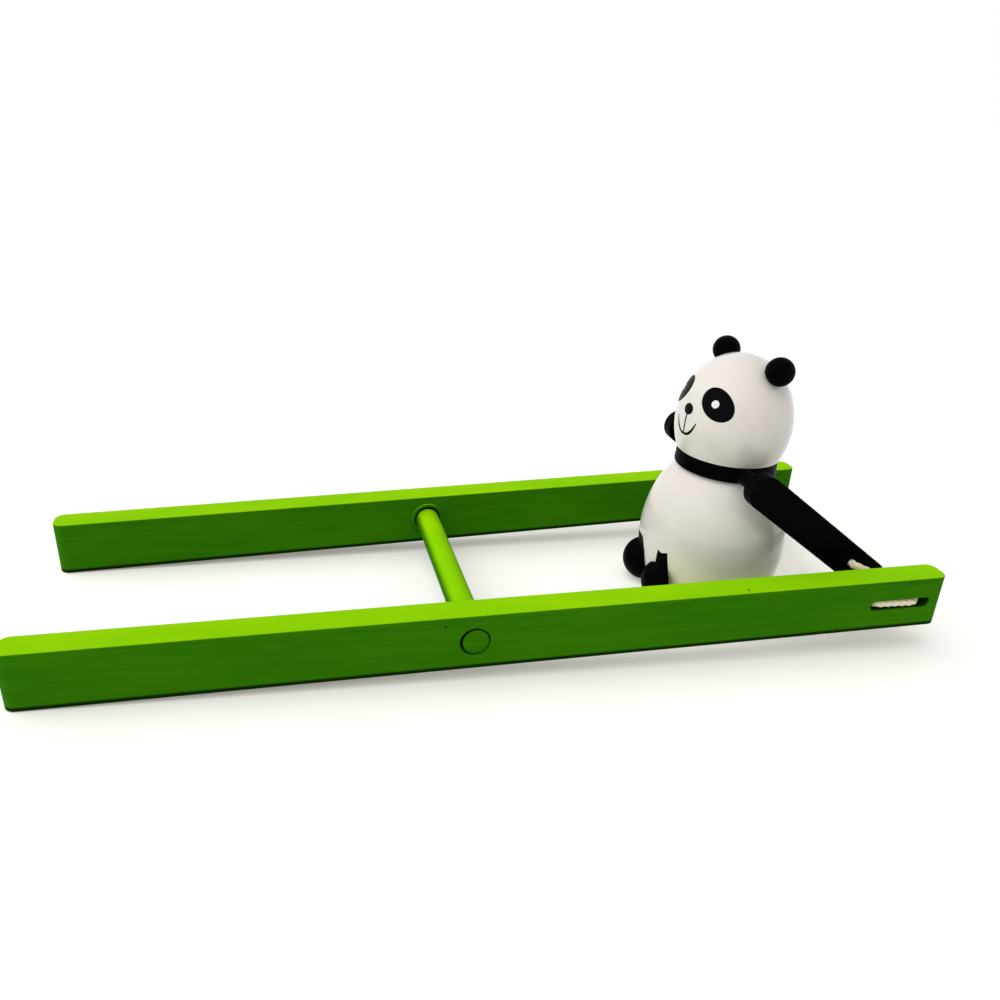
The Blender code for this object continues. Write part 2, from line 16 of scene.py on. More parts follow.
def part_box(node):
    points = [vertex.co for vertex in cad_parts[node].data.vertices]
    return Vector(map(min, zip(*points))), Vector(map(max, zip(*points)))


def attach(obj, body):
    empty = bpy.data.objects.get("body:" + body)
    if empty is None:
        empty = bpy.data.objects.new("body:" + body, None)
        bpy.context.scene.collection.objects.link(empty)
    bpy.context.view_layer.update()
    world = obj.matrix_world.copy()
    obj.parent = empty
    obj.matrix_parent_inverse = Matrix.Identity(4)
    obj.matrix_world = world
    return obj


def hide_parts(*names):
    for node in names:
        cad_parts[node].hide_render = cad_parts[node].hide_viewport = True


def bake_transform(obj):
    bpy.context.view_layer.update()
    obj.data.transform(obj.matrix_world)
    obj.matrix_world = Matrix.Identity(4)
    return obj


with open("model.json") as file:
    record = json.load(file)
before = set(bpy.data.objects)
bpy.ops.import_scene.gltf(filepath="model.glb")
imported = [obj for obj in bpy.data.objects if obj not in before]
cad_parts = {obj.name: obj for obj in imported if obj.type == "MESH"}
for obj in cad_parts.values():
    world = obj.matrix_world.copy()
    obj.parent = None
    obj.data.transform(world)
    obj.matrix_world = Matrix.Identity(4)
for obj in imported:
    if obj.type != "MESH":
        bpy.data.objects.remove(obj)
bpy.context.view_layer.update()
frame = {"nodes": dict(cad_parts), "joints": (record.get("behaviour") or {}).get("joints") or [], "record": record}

LEFT = -1
RIGHT = 1
SIDES = (LEFT, RIGHT)
SIDE_NAMES = {LEFT: "left", RIGHT: "right"}
ACROSS = Vector((0.0, 1.0, 0.0))
UP = Vector((0.0, 0.0, 1.0))
QUARTER_TURN = 0.5 * math.pi
FULL_TURN = 2.0 * math.pi

# Sizes that the part has too: rails, crossbar and string
RAIL_SPLAY = math.radians(1.72)
RAIL_THICKNESS = 0.0086
RAIL_HEIGHT = 0.0172
HANDLE_REACH = 0.1204
STRING_REACH = 0.1492
RAIL_CORNER = 0.0030
RAIL_EASE = 0.0004
FRONT_HOLE_X = 0.1254
REAR_HOLE_X = 0.1426
CORD_HOLE_RADIUS = 0.0017
SLOT_WIDTH = 0.0035
SLOT_DEPTH = 0.0031
CROSSBAR_RADIUS = 0.0040
CROSSBAR_EASE = 0.0004
CORD_BEND_REACH = 0.0024
CORD_BEND_SHARE = 0.36

# Sizes that the part has too: panda
HEAD_RADIUS = 0.0187
HEAD_HALF_HEIGHT = 0.0223
HEAD_TURN = math.radians(8.5)
BODY_RADIUS = 0.0243
BODY_WAIST_Z = 0.0199
BODY_UPPER_RISE = 0.0328
BODY_LOWER_DROP = 0.0295
BODY_BASE_ROUND = 0.0010
RING_BOTTOM_RADIUS = 0.0166
RING_TOP_RADIUS = 0.0163
RING_ROUND = 0.0004
EAR_RADIUS = 0.0045
EAR_PLACE = Vector((0.0027, 0.0134, 0.0201))
FOOT_RADIUS = 0.0075
FOOT_FORWARD = 0.0193
FOOT_SPACING = 0.0163
FOOT_CUT = 0.0016
FOOT_FLOOR_GAP = 0.0001
ARM_RADIUS = 0.00545
ARM_REACH = 0.0547
ARM_INNER_FACE = 0.0262
ARM_OUTER_FACE = 0.0314
ARM_EASE = 0.0006
HAND_HOLE_SPACING = 0.0105
SHOULDER_HOLE_RADIUS = 0.0018
SHOULDER_PEG_RADIUS = 0.0015
SEAT_GAP = 0.0003

# Details of the wood that only the scene has
PIVOT_HOLE_RADIUS = 0.00438
PIVOT_HOLE_SHIFT = (-0.00016, 0.00018)
PAINT_RIM_WIDTH = 0.0014
PAINT_RIM_HEIGHT = 0.00032
PAINT_RIM_SUNK = 0.0003
SHOULDER_COVER = 0.0005
PAINTED_GAP = 0.0001
EAR_CUT = 0.0027
CUT_MARGIN = 0.002
BASE_ROUND_ANGLES = (-0.4 * math.pi, -0.12 * math.pi)

# Steps of round shapes
TURNED_STEPS = 128
BALL_STEPS = 72
RIM_STEPS = 64
HOLE_STEPS = 40
HEAD_SIDE_STEPS = 72
BODY_SIDE_STEPS = 24
CORNER_STEPS = 10
EASE_STEPS = 5

# String; CORD_PULL is how far its rear bend in a slot is drawn forwards
CORD_RADIUS = 0.00130
CORD_BEND_RADIUS = 0.0024
SLOT_CORD_Y = 0.00285
CORD_SLACK = {FRONT_HOLE_X: 0.0002, REAR_HOLE_X: -0.0004}
CORD_PULL = 0.0018
CORD_PITCH = 0.0075
CORD_PLIES = 3
PLY_RADIUS = 0.00088
PLY_SIDES = 10
CORD_STEP = 0.0005
CORD_TUCK = 0.0002
CORD_IN_RAIL = 0.0032
CORD_IN_HAND = 0.0020
HAND_CORD_INSET = 0.0006
BEND_STEPS = 6
STRAND_STEPS = 24
HAND_CORD_STEPS = 40
KNOT_CORD_RADIUS = 0.00062
KNOT_PITCH = 0.003
KNOT_STEP = 0.0002
KNOT_ROOM = 0.0012
KNOT_HALF_LENGTH = 0.0018
KNOT_HALF_HEIGHT = 0.0009
KNOT_HALF_DEPTH = 0.0006
KNOT_POINTS = 72

# Face, as longitude and latitude on the head in degrees; longitude grows to the panda's left
FACE_MIDDLE = -0.8
EYE_PLACE = (31.3, 24.3)
EYE_LONG_RADIUS = 0.0061
EYE_SHORT_RADIUS = 0.0046
EYE_SLANT = math.radians(145.0)
EYE_DOT_PLACES = {LEFT: (29.6, 23.9), RIGHT: (35.5, 23.9)}
EYE_DOT_RADIUS = 0.00125
EYE_PIT_RADIUS = 0.00032
NOSE_LATITUDE = 13.1
NOSE_HALF_WIDTH = 0.0021
NOSE_HALF_HEIGHT = 0.0018
MOUTH_BOTTOM = -7.8
SMILE_HALF_WIDTH = 15.0
SMILE_RISE = 12.3
SMILE_CURVE = 2.6
STROKE_HALF_WIDTH = 0.00030
SMILE_HALF_STROKE = 1.45 * STROKE_HALF_WIDTH

# Paint as a thin solid, thinner at its edges; its strokes get narrower at their ends
PAINT_THICKNESS = 0.00007
DOT_THICKNESS = 2.2 * PAINT_THICKNESS
PIT_THICKNESS = 3.0 * PAINT_THICKNESS
NOSE_THICKNESS = 1.6 * PAINT_THICKNESS
STROKE_EDGE_THICKNESS = 0.3 * PAINT_THICKNESS
PAINT_SUNK = 0.00012
PATCH_RIM = 0.85
PATCH_THINNING = 0.6
STROKE_TIP = 0.45
STROKE_TAPER = 3.5
STROKE_STEPS = 20

# Paint that ran onto the body around the feet, as degrees towards the panda's left and metres
# above the floor
FOOT_PAINT = {
    LEFT: [(12.0, 0.0080), (17.2, 0.0145), (18.5, 0.0193), (22.3, 0.0187), (28.2, 0.0197),
           (30.4, 0.0145), (31.1, 0.0089), (32.5, 0.0014), (14.0, 0.0014)],
    RIGHT: [(0.5, 0.0093), (0.5, 0.0151), (-4.6, 0.0190), (-11.2, 0.0193), (-20.0, 0.0184),
            (-28.0, 0.0190), (-30.4, 0.0145), (-31.1, 0.0089), (-32.5, 0.0014), (-10.0, 0.0014),
            (-4.5, 0.0040)],
}
FOOT_PAINT_STEPS = 8

# Colours, as linear red, green, blue and alpha
GREEN_SIDE = (0.025, 0.158, 0.0010, 1.0)
GREEN_STREAK = (0.035, 0.188, 0.0014, 1.0)
GREEN_CLOUD = (0.044, 0.203, 0.0010, 1.0)
# Painted light: the two top greens are the same stain made lighter and yellower where it faces up
GREEN_PAINTED_TOP_LIGHT = (0.248, 0.615, 0.0010, 1.0)
GREEN_PAINTED_TOP_LIGHT_CLOUD = (0.305, 0.665, 0.0012, 1.0)
# Painted shade on faces that point down
GREEN_PAINTED_UNDERSIDE_SHADE = (0.006, 0.032, 0.0010, 1.0)
GREEN_PORE = (0.018, 0.120, 0.0015, 1.0)
GREEN_KNOT = (0.004, 0.050, 0.006, 1.0)
# Painted contact shadow along the rails' lower edge
GREEN_PAINTED_CONTACT_SHADOW = (0.003, 0.014, 0.0008, 1.0)
# Painted shade in the string slots
GREEN_PAINTED_SLOT_SHADE = (0.005, 0.020, 0.0010, 1.0)
# Painted shade on the crossbar's sides inside the rails' holes
GREEN_PAINTED_HOLE_SHADE = (0.004, 0.022, 0.0008, 1.0)
LACQUER = (0.765, 0.712, 0.664, 1.0)
LACQUER_PATCH = (0.730, 0.676, 0.626, 1.0)
# Painted reflection of the green rails, low on the panda's white sides
LACQUER_PAINTED_RAIL_REFLECTION = (0.79, 0.80, 0.42, 1.0)
LACQUER_SPECK = (0.38, 0.35, 0.32, 1.0)
BLACK_COAT = (0.0007, 0.0009, 0.0006, 1.0)
BLACK_BRUSHED = (0.0013, 0.0015, 0.0011, 1.0)
BLACK_DUST = (0.014, 0.014, 0.012, 1.0)
COTTON_PALE = (0.90, 0.83, 0.56, 1.0)
COTTON_DEEP = (0.84, 0.75, 0.47, 1.0)
COTTON_FIBRE = (0.62, 0.50, 0.28, 1.0)
DOWEL_PALE = (0.68, 0.53, 0.35, 1.0)
DOWEL_RING = (0.52, 0.37, 0.22, 1.0)
FACE_BLACK_COLOUR = (0.0016, 0.0016, 0.0015, 1.0)
EYE_WHITE_COLOUR = (0.88, 0.87, 0.85, 1.0)
EYE_GREY_COLOUR = (0.66, 0.65, 0.63, 1.0)
FLOOR_COLOUR = (0.97, 0.97, 0.96, 1.0)
FLOOR_SEEN_COLOUR = (0.90, 0.90, 0.895, 1.0)
FLOOR_WHITENING_COLOUR = (1.0, 1.0, 0.82, 1.0)

# Grain, as waves per metre along X, Y and Z
STREAK_SCALE = (26.0, 900.0, 900.0)
PORE_SCALE = (150.0, 3400.0, 3400.0)
CLOUD_SCALE = (24.0, 70.0, 70.0)
BRUSH_SCALE = (220.0, 900.0, 900.0)
DOWEL_SCALE = (1500.0, 120.0, 1500.0)

# Shading by place, in metres; a pair says where it starts to change and where it ends.
# The painted contact shadow counts from a rail's bottom; the painted slot shade's pairs count
# from the outer face, the inner face and the slot's outline. The knots are in the near rail, in
# its own frame.
# The painted light on upward faces fades out this far below the rails' middle height
PAINTED_TOP_LIGHT_FADE = 0.0010
PAINTED_CONTACT_SHADOW_BAND = (0.00102, 0.0017)
WOOD_KNOTS = [Vector((0.1361, -0.0043, 0.0074)), Vector((-0.0086, -0.0043, 0.0059)),
              Vector((0.0820, -0.0025, 0.0086))]
WOOD_KNOT_REACH = (0.00025, 0.00060)
SLOT_SHADE_DEPTH = (0.0002, 0.0009)
SLOT_SHADE_FLOOR = (0.0004, 0.0008)
SLOT_SHADE_MARGIN = (0.0002, 0.0005)
HOLE_SHADE_FADE = 0.0002
# Where and how strongly the painted reflection of the rails shows on the white lacquer
PAINTED_REFLECTION_HEIGHT = (0.010, 0.029)
PAINTED_REFLECTION_STRENGTH = 0.72

# Light
ROOM_LIGHT = 0.47
OVERHEAD_STRENGTH = 2.05
OVERHEAD_WIDTH = math.radians(80.0)
TOWARDS_LIGHT = Vector((-0.62, -0.07, 0.78))
FLOOR_WHITENING = 0.24
FLOOR_REACH = 6.0

# Camera, in the rails' own lifted frame and from the crossbar's middle
CAMERA_PLACE = Vector((-0.04865, -0.23539, 0.13493))
CAMERA_FORWARD = Vector((0.24324, 0.87490, -0.41879))
CAMERA_RIGHT = Vector((0.96780, -0.24773, 0.04458))
CAMERA_LENS = 30.83
CAMERA_SENSOR = 36.0
CAMERA_NEAR = 0.01

joints = {joint["name"]: joint for joint in frame["joints"]}


def joint_place(name):
    return Vector(joints[name]["pos_m"])


def lifted_frame():
    """The rails' frame: on the crossbar's middle, with Z square to the rails."""
    up = Vector(joints["left_rail_rock"]["axis"]).normalized()
    along = ACROSS.cross(up).normalized()
    turn = Matrix((along, ACROSS, up)).transposed().to_4x4()
    middle = 0.5 * (joint_place("left_rail_rock") + joint_place("right_rail_rock"))
    return Matrix.Translation(middle) @ turn


LIFTED = lifted_frame()
PIVOT_Y = joint_place("right_rail_rock").y
SWING_AXIS = joint_place("left_arm_swing")
SHOULDER = joint_place("left_shoulder")
ARM_AXIS = (SWING_AXIS - SHOULDER).normalized()
FRONT_HAND_HOLE = SWING_AXIS - ARM_AXIS * 0.5 * HAND_HOLE_SPACING
REAR_HAND_HOLE = SWING_AXIS + ARM_AXIS * 0.5 * HAND_HOLE_SPACING
head_low, head_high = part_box("head")
HEAD_CENTRE = Vector((0.5 * (head_low.x + head_high.x), 0.0, head_high.z - HEAD_HALF_HEIGHT))


def rail_matrix(side):
    """A rail's frame: on its crossbar hole's middle, with X along it and Y across it."""
    return (LIFTED @ Matrix.Translation((0.0, side * PIVOT_Y, 0.0))
            @ Matrix.Rotation(side * RAIL_SPLAY, 4, "Z"))


# Materials. Noise lies mostly between 0.30 and 0.75, so its spreads run between those.

class Nodes:
    """A material's node tree, with short calls that add a node and return its output."""

    def __init__(self, name, roughness, **sockets):
        self.material = bpy.data.materials.new(name)
        self.material.use_nodes = True
        self.tree = self.material.node_tree
        self.shader = self.tree.nodes["Principled BSDF"]
        self.shader.inputs["Roughness"].default_value = roughness
        for socket, value in sockets.items():
            self.shader.inputs[socket.replace("_", " ")].default_value = value
        where = self.tree.nodes.new("ShaderNodeTexCoord")
        self.place = where.outputs["Object"]
        self.facing = where.outputs["Normal"]

    def link(self, value, socket):
        """Feeds a socket from another one, or sets it to a plain value."""
        if isinstance(value, bpy.types.NodeSocket):
            self.tree.links.new(value, socket)
        else:
            socket.default_value = value

    def vector_math(self, operation, vector, fixed):
        node = self.tree.nodes.new("ShaderNodeVectorMath")
        node.operation = operation
        self.link(vector, node.inputs[0])
        node.inputs[1].default_value = fixed
        return node.outputs["Value"]

    def along(self, vector, direction):
        """How far a vector reaches in a direction."""
        return self.vector_math("DOT_PRODUCT", vector, direction)

    def distance(self, point):
        return self.vector_math("DISTANCE", self.place, point)

    def scaled(self, scale):
        """The place, stretched so that noise runs at its own scale along each axis."""
        node = self.tree.nodes.new("ShaderNodeMapping")
        node.inputs["Scale"].default_value = scale
        self.link(self.place, node.inputs["Vector"])
        return node.outputs["Vector"]

    def noise(self, vector, scale=1.0, detail=3.0, rough=0.5):
        node = self.tree.nodes.new("ShaderNodeTexNoise")
        node.inputs["Scale"].default_value = scale
        node.inputs["Detail"].default_value = detail
        node.inputs["Roughness"].default_value = rough
        self.link(vector, node.inputs["Vector"])
        return node.outputs["Fac"]

    def cells(self, vector, scale):
        """The distance from the nearest of many scattered points."""
        node = self.tree.nodes.new("ShaderNodeTexVoronoi")
        node.inputs["Scale"].default_value = scale
        self.link(vector, node.inputs["Vector"])
        return node.outputs["Distance"]

    def spread(self, value, low, high, to_low=0.0, to_high=1.0):
        """to_low up to low, to_high from high on, and a smooth step between them."""
        node = self.tree.nodes.new("ShaderNodeMapRange")
        node.interpolation_type = "SMOOTHSTEP"
        node.inputs["From Min"].default_value = low
        node.inputs["From Max"].default_value = high
        node.inputs["To Min"].default_value = to_low
        node.inputs["To Max"].default_value = to_high
        self.link(value, node.inputs["Value"])
        return node.outputs["Result"]

    def math(self, operation, first, second=0.5):
        node = self.tree.nodes.new("ShaderNodeMath")
        node.operation = operation
        self.link(first, node.inputs[0])
        self.link(second, node.inputs[1])
        return node.outputs["Value"]

    def mix(self, factor, first, second):
        """The first colour where factor is 0, the second where it is 1."""
        node = self.tree.nodes.new("ShaderNodeMix")
        node.data_type = "RGBA"
        self.link(factor, node.inputs["Factor"])
        colours = [socket for socket in node.inputs if socket.type == "RGBA"]
        for value, socket in zip((first, second), colours):
            self.link(value, socket)
        return next(socket for socket in node.outputs if socket.type == "RGBA")

    def bump(self, height, strength, distance):
        node = self.tree.nodes.new("ShaderNodeBump")
        node.inputs["Strength"].default_value = strength
        node.inputs["Distance"].default_value = distance
        self.link(height, node.inputs["Height"])
        self.link(node.outputs["Normal"], self.shader.inputs["Normal"])

    def colour(self, value):
        self.link(value, self.shader.inputs["Base Color"])

    def roughness(self, value):
        self.link(value, self.shader.inputs["Roughness"])


def painted_slot_shade(m, side, height):
    """1 on the walls and the floor of a rail's string slot, where hardly any light gets in."""
    rail = rail_matrix(side)
    half = 0.5 * RAIL_THICKNESS
    origin = rail.translation
    length = rail.to_3x3().col[0]
    outward = side * rail.to_3x3().col[1]
    middle = 0.5 * (FRONT_HOLE_X + REAR_HOLE_X)
    depth = m.math("SUBTRACT", m.along(m.place, outward), origin.dot(outward))
    reach = m.math("SUBTRACT", m.along(m.place, length), origin.dot(length) + middle)
    mouth, deep = (half - distance for distance in SLOT_SHADE_DEPTH)
    walls = m.math("MULTIPLY", m.spread(depth, deep, mouth, 0.9, 0.0),
                   m.spread(depth, *(distance - half for distance in SLOT_SHADE_FLOOR)))
    for distance, size in ((reach, REAR_HOLE_X - FRONT_HOLE_X + SLOT_WIDTH), (height, SLOT_WIDTH)):
        start, end = (0.5 * size + margin for margin in SLOT_SHADE_MARGIN)
        near = m.spread(m.math("ABSOLUTE", distance), start, end, 1.0, 0.0)
        walls = m.math("MULTIPLY", walls, near)
    return walls


def green_wood(name, covered_from=None):
    """Matt green stain with grain along the rail, and painted light that makes it lighter and
    yellower on what points up.

    The rails' lower edge carries a painted contact shadow, and the faces that point down and the
    slot walls carry painted shade. With covered_from it is for a rod instead, whose sides lie in
    holes from there on, and carry painted shade there.
    """
    m = Nodes(name, 0.55, Specular_IOR_Level=0.01)
    up = LIFTED.to_3x3().col[2]
    height = m.math("SUBTRACT", m.along(m.place, up), LIFTED.translation.dot(up))
    upward = m.along(m.facing, up)
    streaks = m.noise(m.scaled(STREAK_SCALE), detail=4.0, rough=0.6)
    pores = m.noise(m.scaled(PORE_SCALE), detail=2.0)
    clouds = m.noise(m.scaled(CLOUD_SCALE))
    flank = m.mix(m.spread(streaks, 0.30, 0.70), GREEN_SIDE, GREEN_STREAK)
    flank = m.mix(m.spread(clouds, 0.35, 0.72, 0.0, 0.5), flank, GREEN_CLOUD)
    # Painted light: upward faces in the rails' upper half get the lighter, yellower top green
    top = m.mix(m.spread(clouds, 0.35, 0.72), GREEN_PAINTED_TOP_LIGHT, GREEN_PAINTED_TOP_LIGHT_CLOUD)
    painted_top_light_mask = m.math("MULTIPLY", m.spread(upward, 0.25, 0.85), m.spread(height, -PAINTED_TOP_LIGHT_FADE, 0.0))
    shade = m.mix(painted_top_light_mask, flank, top)
    # Painted shade: faces that point down turn dark green
    shade = m.mix(m.spread(upward, -0.40, -0.03, 1.0, 0.0), shade, GREEN_PAINTED_UNDERSIDE_SHADE)
    shade = m.mix(m.spread(pores, 0.60, 0.76, 0.0, 0.18), shade, GREEN_PORE)
    for knot in WOOD_KNOTS:
        away = m.distance(rail_matrix(LEFT) @ knot)
        shade = m.mix(m.spread(away, *WOOD_KNOT_REACH, 0.85, 0.0), shade, GREEN_KNOT)
    # Painted contact shadow: a dark band just above the rails' bottom
    start, end = (distance - 0.5 * RAIL_HEIGHT for distance in PAINTED_CONTACT_SHADOW_BAND)
    shade = m.mix(m.spread(height, start, end, 0.95, 0.0), shade, GREEN_PAINTED_CONTACT_SHADOW)
    if covered_from is None:
        # Painted shade in the string slots
        for side in SIDES:
            shade = m.mix(painted_slot_shade(m, side, height), shade, GREEN_PAINTED_SLOT_SHADE)
    else:
        # Painted shade on the rod's sides inside the rails' holes
        sideways = m.math("ABSOLUTE", m.along(m.place, ACROSS))
        inside = m.spread(sideways, covered_from - HOLE_SHADE_FADE, covered_from)
        rim = m.spread(m.math("ABSOLUTE", m.along(m.facing, ACROSS)), 0.90, 0.99, 1.0, 0.0)
        shade = m.mix(m.math("MULTIPLY", inside, rim), shade, GREEN_PAINTED_HOLE_SHADE)
    m.colour(shade)
    grain = m.math("ADD", m.math("MULTIPLY", streaks, 0.6), m.math("MULTIPLY", pores, 0.4))
    m.bump(grain, strength=0.22, distance=0.0001)
    return m.material


def white_lacquer():
    """Thick white lacquer over turned wood, a little uneven.

    A faint green low on the sides stands in for the green that the rails throw there.
    """
    m = Nodes("white_gloss", 0.16, Specular_IOR_Level=0.45, Coat_Weight=0.25, Coat_Roughness=0.06)
    waves = m.noise(m.scaled((1.0, 1.0, 2.2)), 95.0, detail=2.0)
    patches = m.noise(m.place, 55.0)
    base = m.mix(m.spread(patches, 0.35, 0.70), LACQUER, LACQUER_PATCH)
    # Painted reflection: green from the rails, low on the sides
    sideways = m.math("ABSOLUTE", m.along(m.facing, ACROSS))
    low = m.spread(m.along(m.place, UP), *PAINTED_REFLECTION_HEIGHT, 1.0, 0.0)
    painted_reflection = m.math("MULTIPLY", m.spread(sideways, 0.10, 0.62), low)
    base = m.mix(m.math("MULTIPLY", painted_reflection, PAINTED_REFLECTION_STRENGTH), base, LACQUER_PAINTED_RAIL_REFLECTION)
    specks = m.spread(m.cells(m.place, 60.0), 0.016, 0.026, 1.0, 0.0)
    m.colour(m.mix(m.math("MULTIPLY", specks, 0.55), base, LACQUER_SPECK))
    m.roughness(m.spread(patches, 0.30, 0.75, 0.13, 0.24))
    m.bump(waves, strength=0.12, distance=0.0004)
    return m.material


def black_paint():
    """Satin black paint with brush marks and dust."""
    m = Nodes("black_satin", 0.42, Specular_IOR_Level=0.014)
    brush = m.noise(m.scaled(BRUSH_SCALE))
    dust = m.spread(m.cells(m.place, 420.0), 0.05, 0.10, 1.0, 0.0)
    base = m.mix(m.spread(brush, 0.35, 0.75), BLACK_COAT, BLACK_BRUSHED)
    m.colour(m.mix(m.math("MULTIPLY", dust, 0.25), base, BLACK_DUST))
    m.roughness(m.spread(brush, 0.30, 0.75, 0.37, 0.52))
    m.bump(brush, strength=0.25, distance=0.0001)
    return m.material


def cotton():
    """Natural cotton cord: soft, matt, with fine fibres and uneven in tone."""
    m = Nodes("natural_cotton", 0.88, Sheen_Weight=0.20, Sheen_Roughness=0.6)
    fibres = m.noise(m.place, 4200.0, rough=0.65)
    tone = m.noise(m.place, 420.0, detail=2.0)
    base = m.mix(m.spread(tone, 0.35, 0.68), COTTON_PALE, COTTON_DEEP)
    m.colour(m.mix(m.spread(fibres, 0.55, 0.80, 0.0, 0.3), base, COTTON_FIBRE))
    m.bump(fibres, strength=0.7, distance=0.00018)
    return m.material


def bare_wood():
    """Unpainted pale dowel."""
    m = Nodes("pale_dowel", 0.6)
    rings = m.noise(m.scaled(DOWEL_SCALE))
    m.colour(m.mix(m.spread(rings, 0.30, 0.70), DOWEL_PALE, DOWEL_RING))
    m.bump(rings, strength=0.4, distance=0.0001)
    return m.material


def plain_enamel(name, colour, roughness, shine):
    """A dab of enamel, slightly uneven."""
    m = Nodes(name, roughness, Specular_IOR_Level=shine)
    tone = m.noise(m.place, 900.0, detail=2.0)
    darker = tuple(0.82 * value for value in colour[:3]) + (1.0,)
    m.colour(m.mix(m.spread(tone, 0.35, 0.70), colour, darker))
    m.bump(tone, strength=0.2, distance=0.0001)
    return m.material


GREEN = green_wood("green_stain")
BAR_GREEN = green_wood("green_stain_bar", PIVOT_Y - 0.5 * RAIL_THICKNESS)
WHITE = white_lacquer()
BLACK = black_paint()
COTTON = cotton()
BARE = bare_wood()
FACE_BLACK = plain_enamel("face_black", FACE_BLACK_COLOUR, roughness=0.35, shine=0.04)
EYE_WHITE = plain_enamel("eye_white", EYE_WHITE_COLOUR, roughness=0.30, shine=0.40)
EYE_GREY = plain_enamel("eye_grey", EYE_GREY_COLOUR, roughness=0.45, shine=0.30)

FINISHES = {"green_paint": GREEN, "white_lacquer": WHITE, "black_paint": BLACK,
            "cotton": COTTON, "bare_wood": BARE}
for part in frame["record"]["subparts"]:
    node = frame["nodes"].get(part["node"])
    if node is not None:
        for material_slot in node.material_slots:
            material_slot.link = "OBJECT"
            material_slot.material = FINISHES[part["material_slot"]]


# Mesh helpers

def linked(name, data):
    """A new object in the scene, with its mesh, light or camera."""
    thing = bpy.data.objects.new(name, data)
    bpy.context.collection.objects.link(thing)
    return thing


def baked(name, shape, matrix, material):
    """An object at the origin whose mesh is the bmesh shape, put in place by matrix."""
    bmesh.ops.recalc_face_normals(shape, faces=shape.faces)
    mesh = bpy.data.meshes.new(name)
    shape.to_mesh(mesh)
    shape.free()
    mesh.transform(matrix)
    mesh.materials.append(material)
    return linked(name, mesh)


def mesh_object(name, vertices, faces, material):
    shape = bmesh.new()
    corners = [shape.verts.new(vertex) for vertex in vertices]
    for face in faces:
        shape.faces.new([corners[i] for i in face])
    thing = baked(name, shape, Matrix.Identity(4), material)
    thing.data.shade_smooth()
    thing.data.set_sharp_from_angle(angle=math.radians(50.0))
    return thing


def evenly(points, step):
    """Points along the same path at even steps, and how far along it each one lies."""
    points = np.array(points, float)
    pieces = np.linalg.norm(np.diff(points, axis=0), axis=1)
    lengths = np.concatenate(([0.0], np.cumsum(pieces)))
    count = max(3, int(round(lengths[-1] / step)) + 1)
    places = np.linspace(0.0, lengths[-1], count)
    return np.stack([np.interp(places, lengths, points[:, i]) for i in range(3)], 1), places


def rounded(points):
    """The same path with its corners worn round."""
    points = np.array(points, float)
    inner = 0.25 * points[:-2] + 0.5 * points[1:-1] + 0.25 * points[2:]
    return np.vstack([points[:1], inner, points[-1:]])


def carried_frames(points):
    """Two untwisted directions square to a path at each point; it can't start along Z."""
    tangents = np.gradient(points, axis=0)
    tangents /= np.linalg.norm(tangents, axis=1)[:, None]
    first = np.cross(tangents[0], UP)
    normals = [first / np.linalg.norm(first)]
    for tangent in tangents[1:]:
        normal = normals[-1] - tangent * np.dot(normals[-1], tangent)
        normals.append(normal / np.linalg.norm(normal))
    normals = np.array(normals)
    return normals, np.cross(tangents, normals)


def tube(points, radius, sides, offset):
    """The vertices and faces of a closed tube; offset is the number of vertices before it."""
    normals, others = carried_frames(points)
    turns = np.linspace(0.0, FULL_TURN, sides, endpoint=False)
    rings = (points[:, None, :] + radius * (np.cos(turns)[None, :, None] * normals[:, None, :]
                                            + np.sin(turns)[None, :, None] * others[:, None, :]))
    vertices = list(rings.reshape(-1, 3))
    faces = []
    for i in range(len(points) - 1):
        for j in range(sides):
            a, b = i * sides + j, i * sides + (j + 1) % sides
            faces.append(tuple(offset + k for k in (a, b, b + sides, a + sides)))
    faces.append(tuple(offset + j for j in reversed(range(sides))))
    last = (len(points) - 1) * sides
    faces.append(tuple(offset + last + j for j in range(sides)))
    return vertices, faces


def plied_cord(name, path, radius=CORD_RADIUS, ply=PLY_RADIUS, pitch=CORD_PITCH, step=CORD_STEP):
    """A cord of twisted plies along a path, as one mesh."""
    points, places = evenly(path, step)
    normals, others = carried_frames(points)
    vertices, faces = [], []
    for k in range(CORD_PLIES):
        angle = (FULL_TURN * (k / CORD_PLIES + places / pitch))[:, None]
        core = points + (radius - ply) * (np.cos(angle) * normals + np.sin(angle) * others)
        new_vertices, new_faces = tube(core, ply, PLY_SIDES, len(vertices))
        vertices += new_vertices
        faces += new_faces
    return mesh_object(name, vertices, faces, COTTON)


# Turned and cut wood

def settled(thing, sharp=30.0, weighted=False):
    """The object with its modifiers applied, its cutters gone and smooth up to sharp degrees."""
    graph = bpy.context.evaluated_depsgraph_get()
    mesh = bpy.data.meshes.new_from_object(thing.evaluated_get(graph))
    cutters = [modifier.object for modifier in thing.modifiers if modifier.type == "BOOLEAN"]
    thing.modifiers.clear()
    thing.data = mesh
    for cutter in cutters:
        bpy.data.objects.remove(cutter, do_unlink=True)
    mesh.shade_smooth()
    mesh.set_sharp_from_angle(angle=math.radians(sharp))
    if weighted:
        smooth = thing.modifiers.new("even_shading", "WEIGHTED_NORMAL")
        smooth.keep_sharp = True
        smooth.weight = 100
    return thing


def cut(thing, cutter):
    boolean = thing.modifiers.new("cut", "BOOLEAN")
    boolean.operation = "DIFFERENCE"
    boolean.solver = "EXACT"
    boolean.object = cutter


def eased(thing, width):
    """Rounds the object's sharp edges."""
    bevel = thing.modifiers.new("eased_edges", "BEVEL")
    bevel.width = width
    bevel.segments = 4
    bevel.limit_method = "ANGLE"
    bevel.angle_limit = math.radians(50.0)


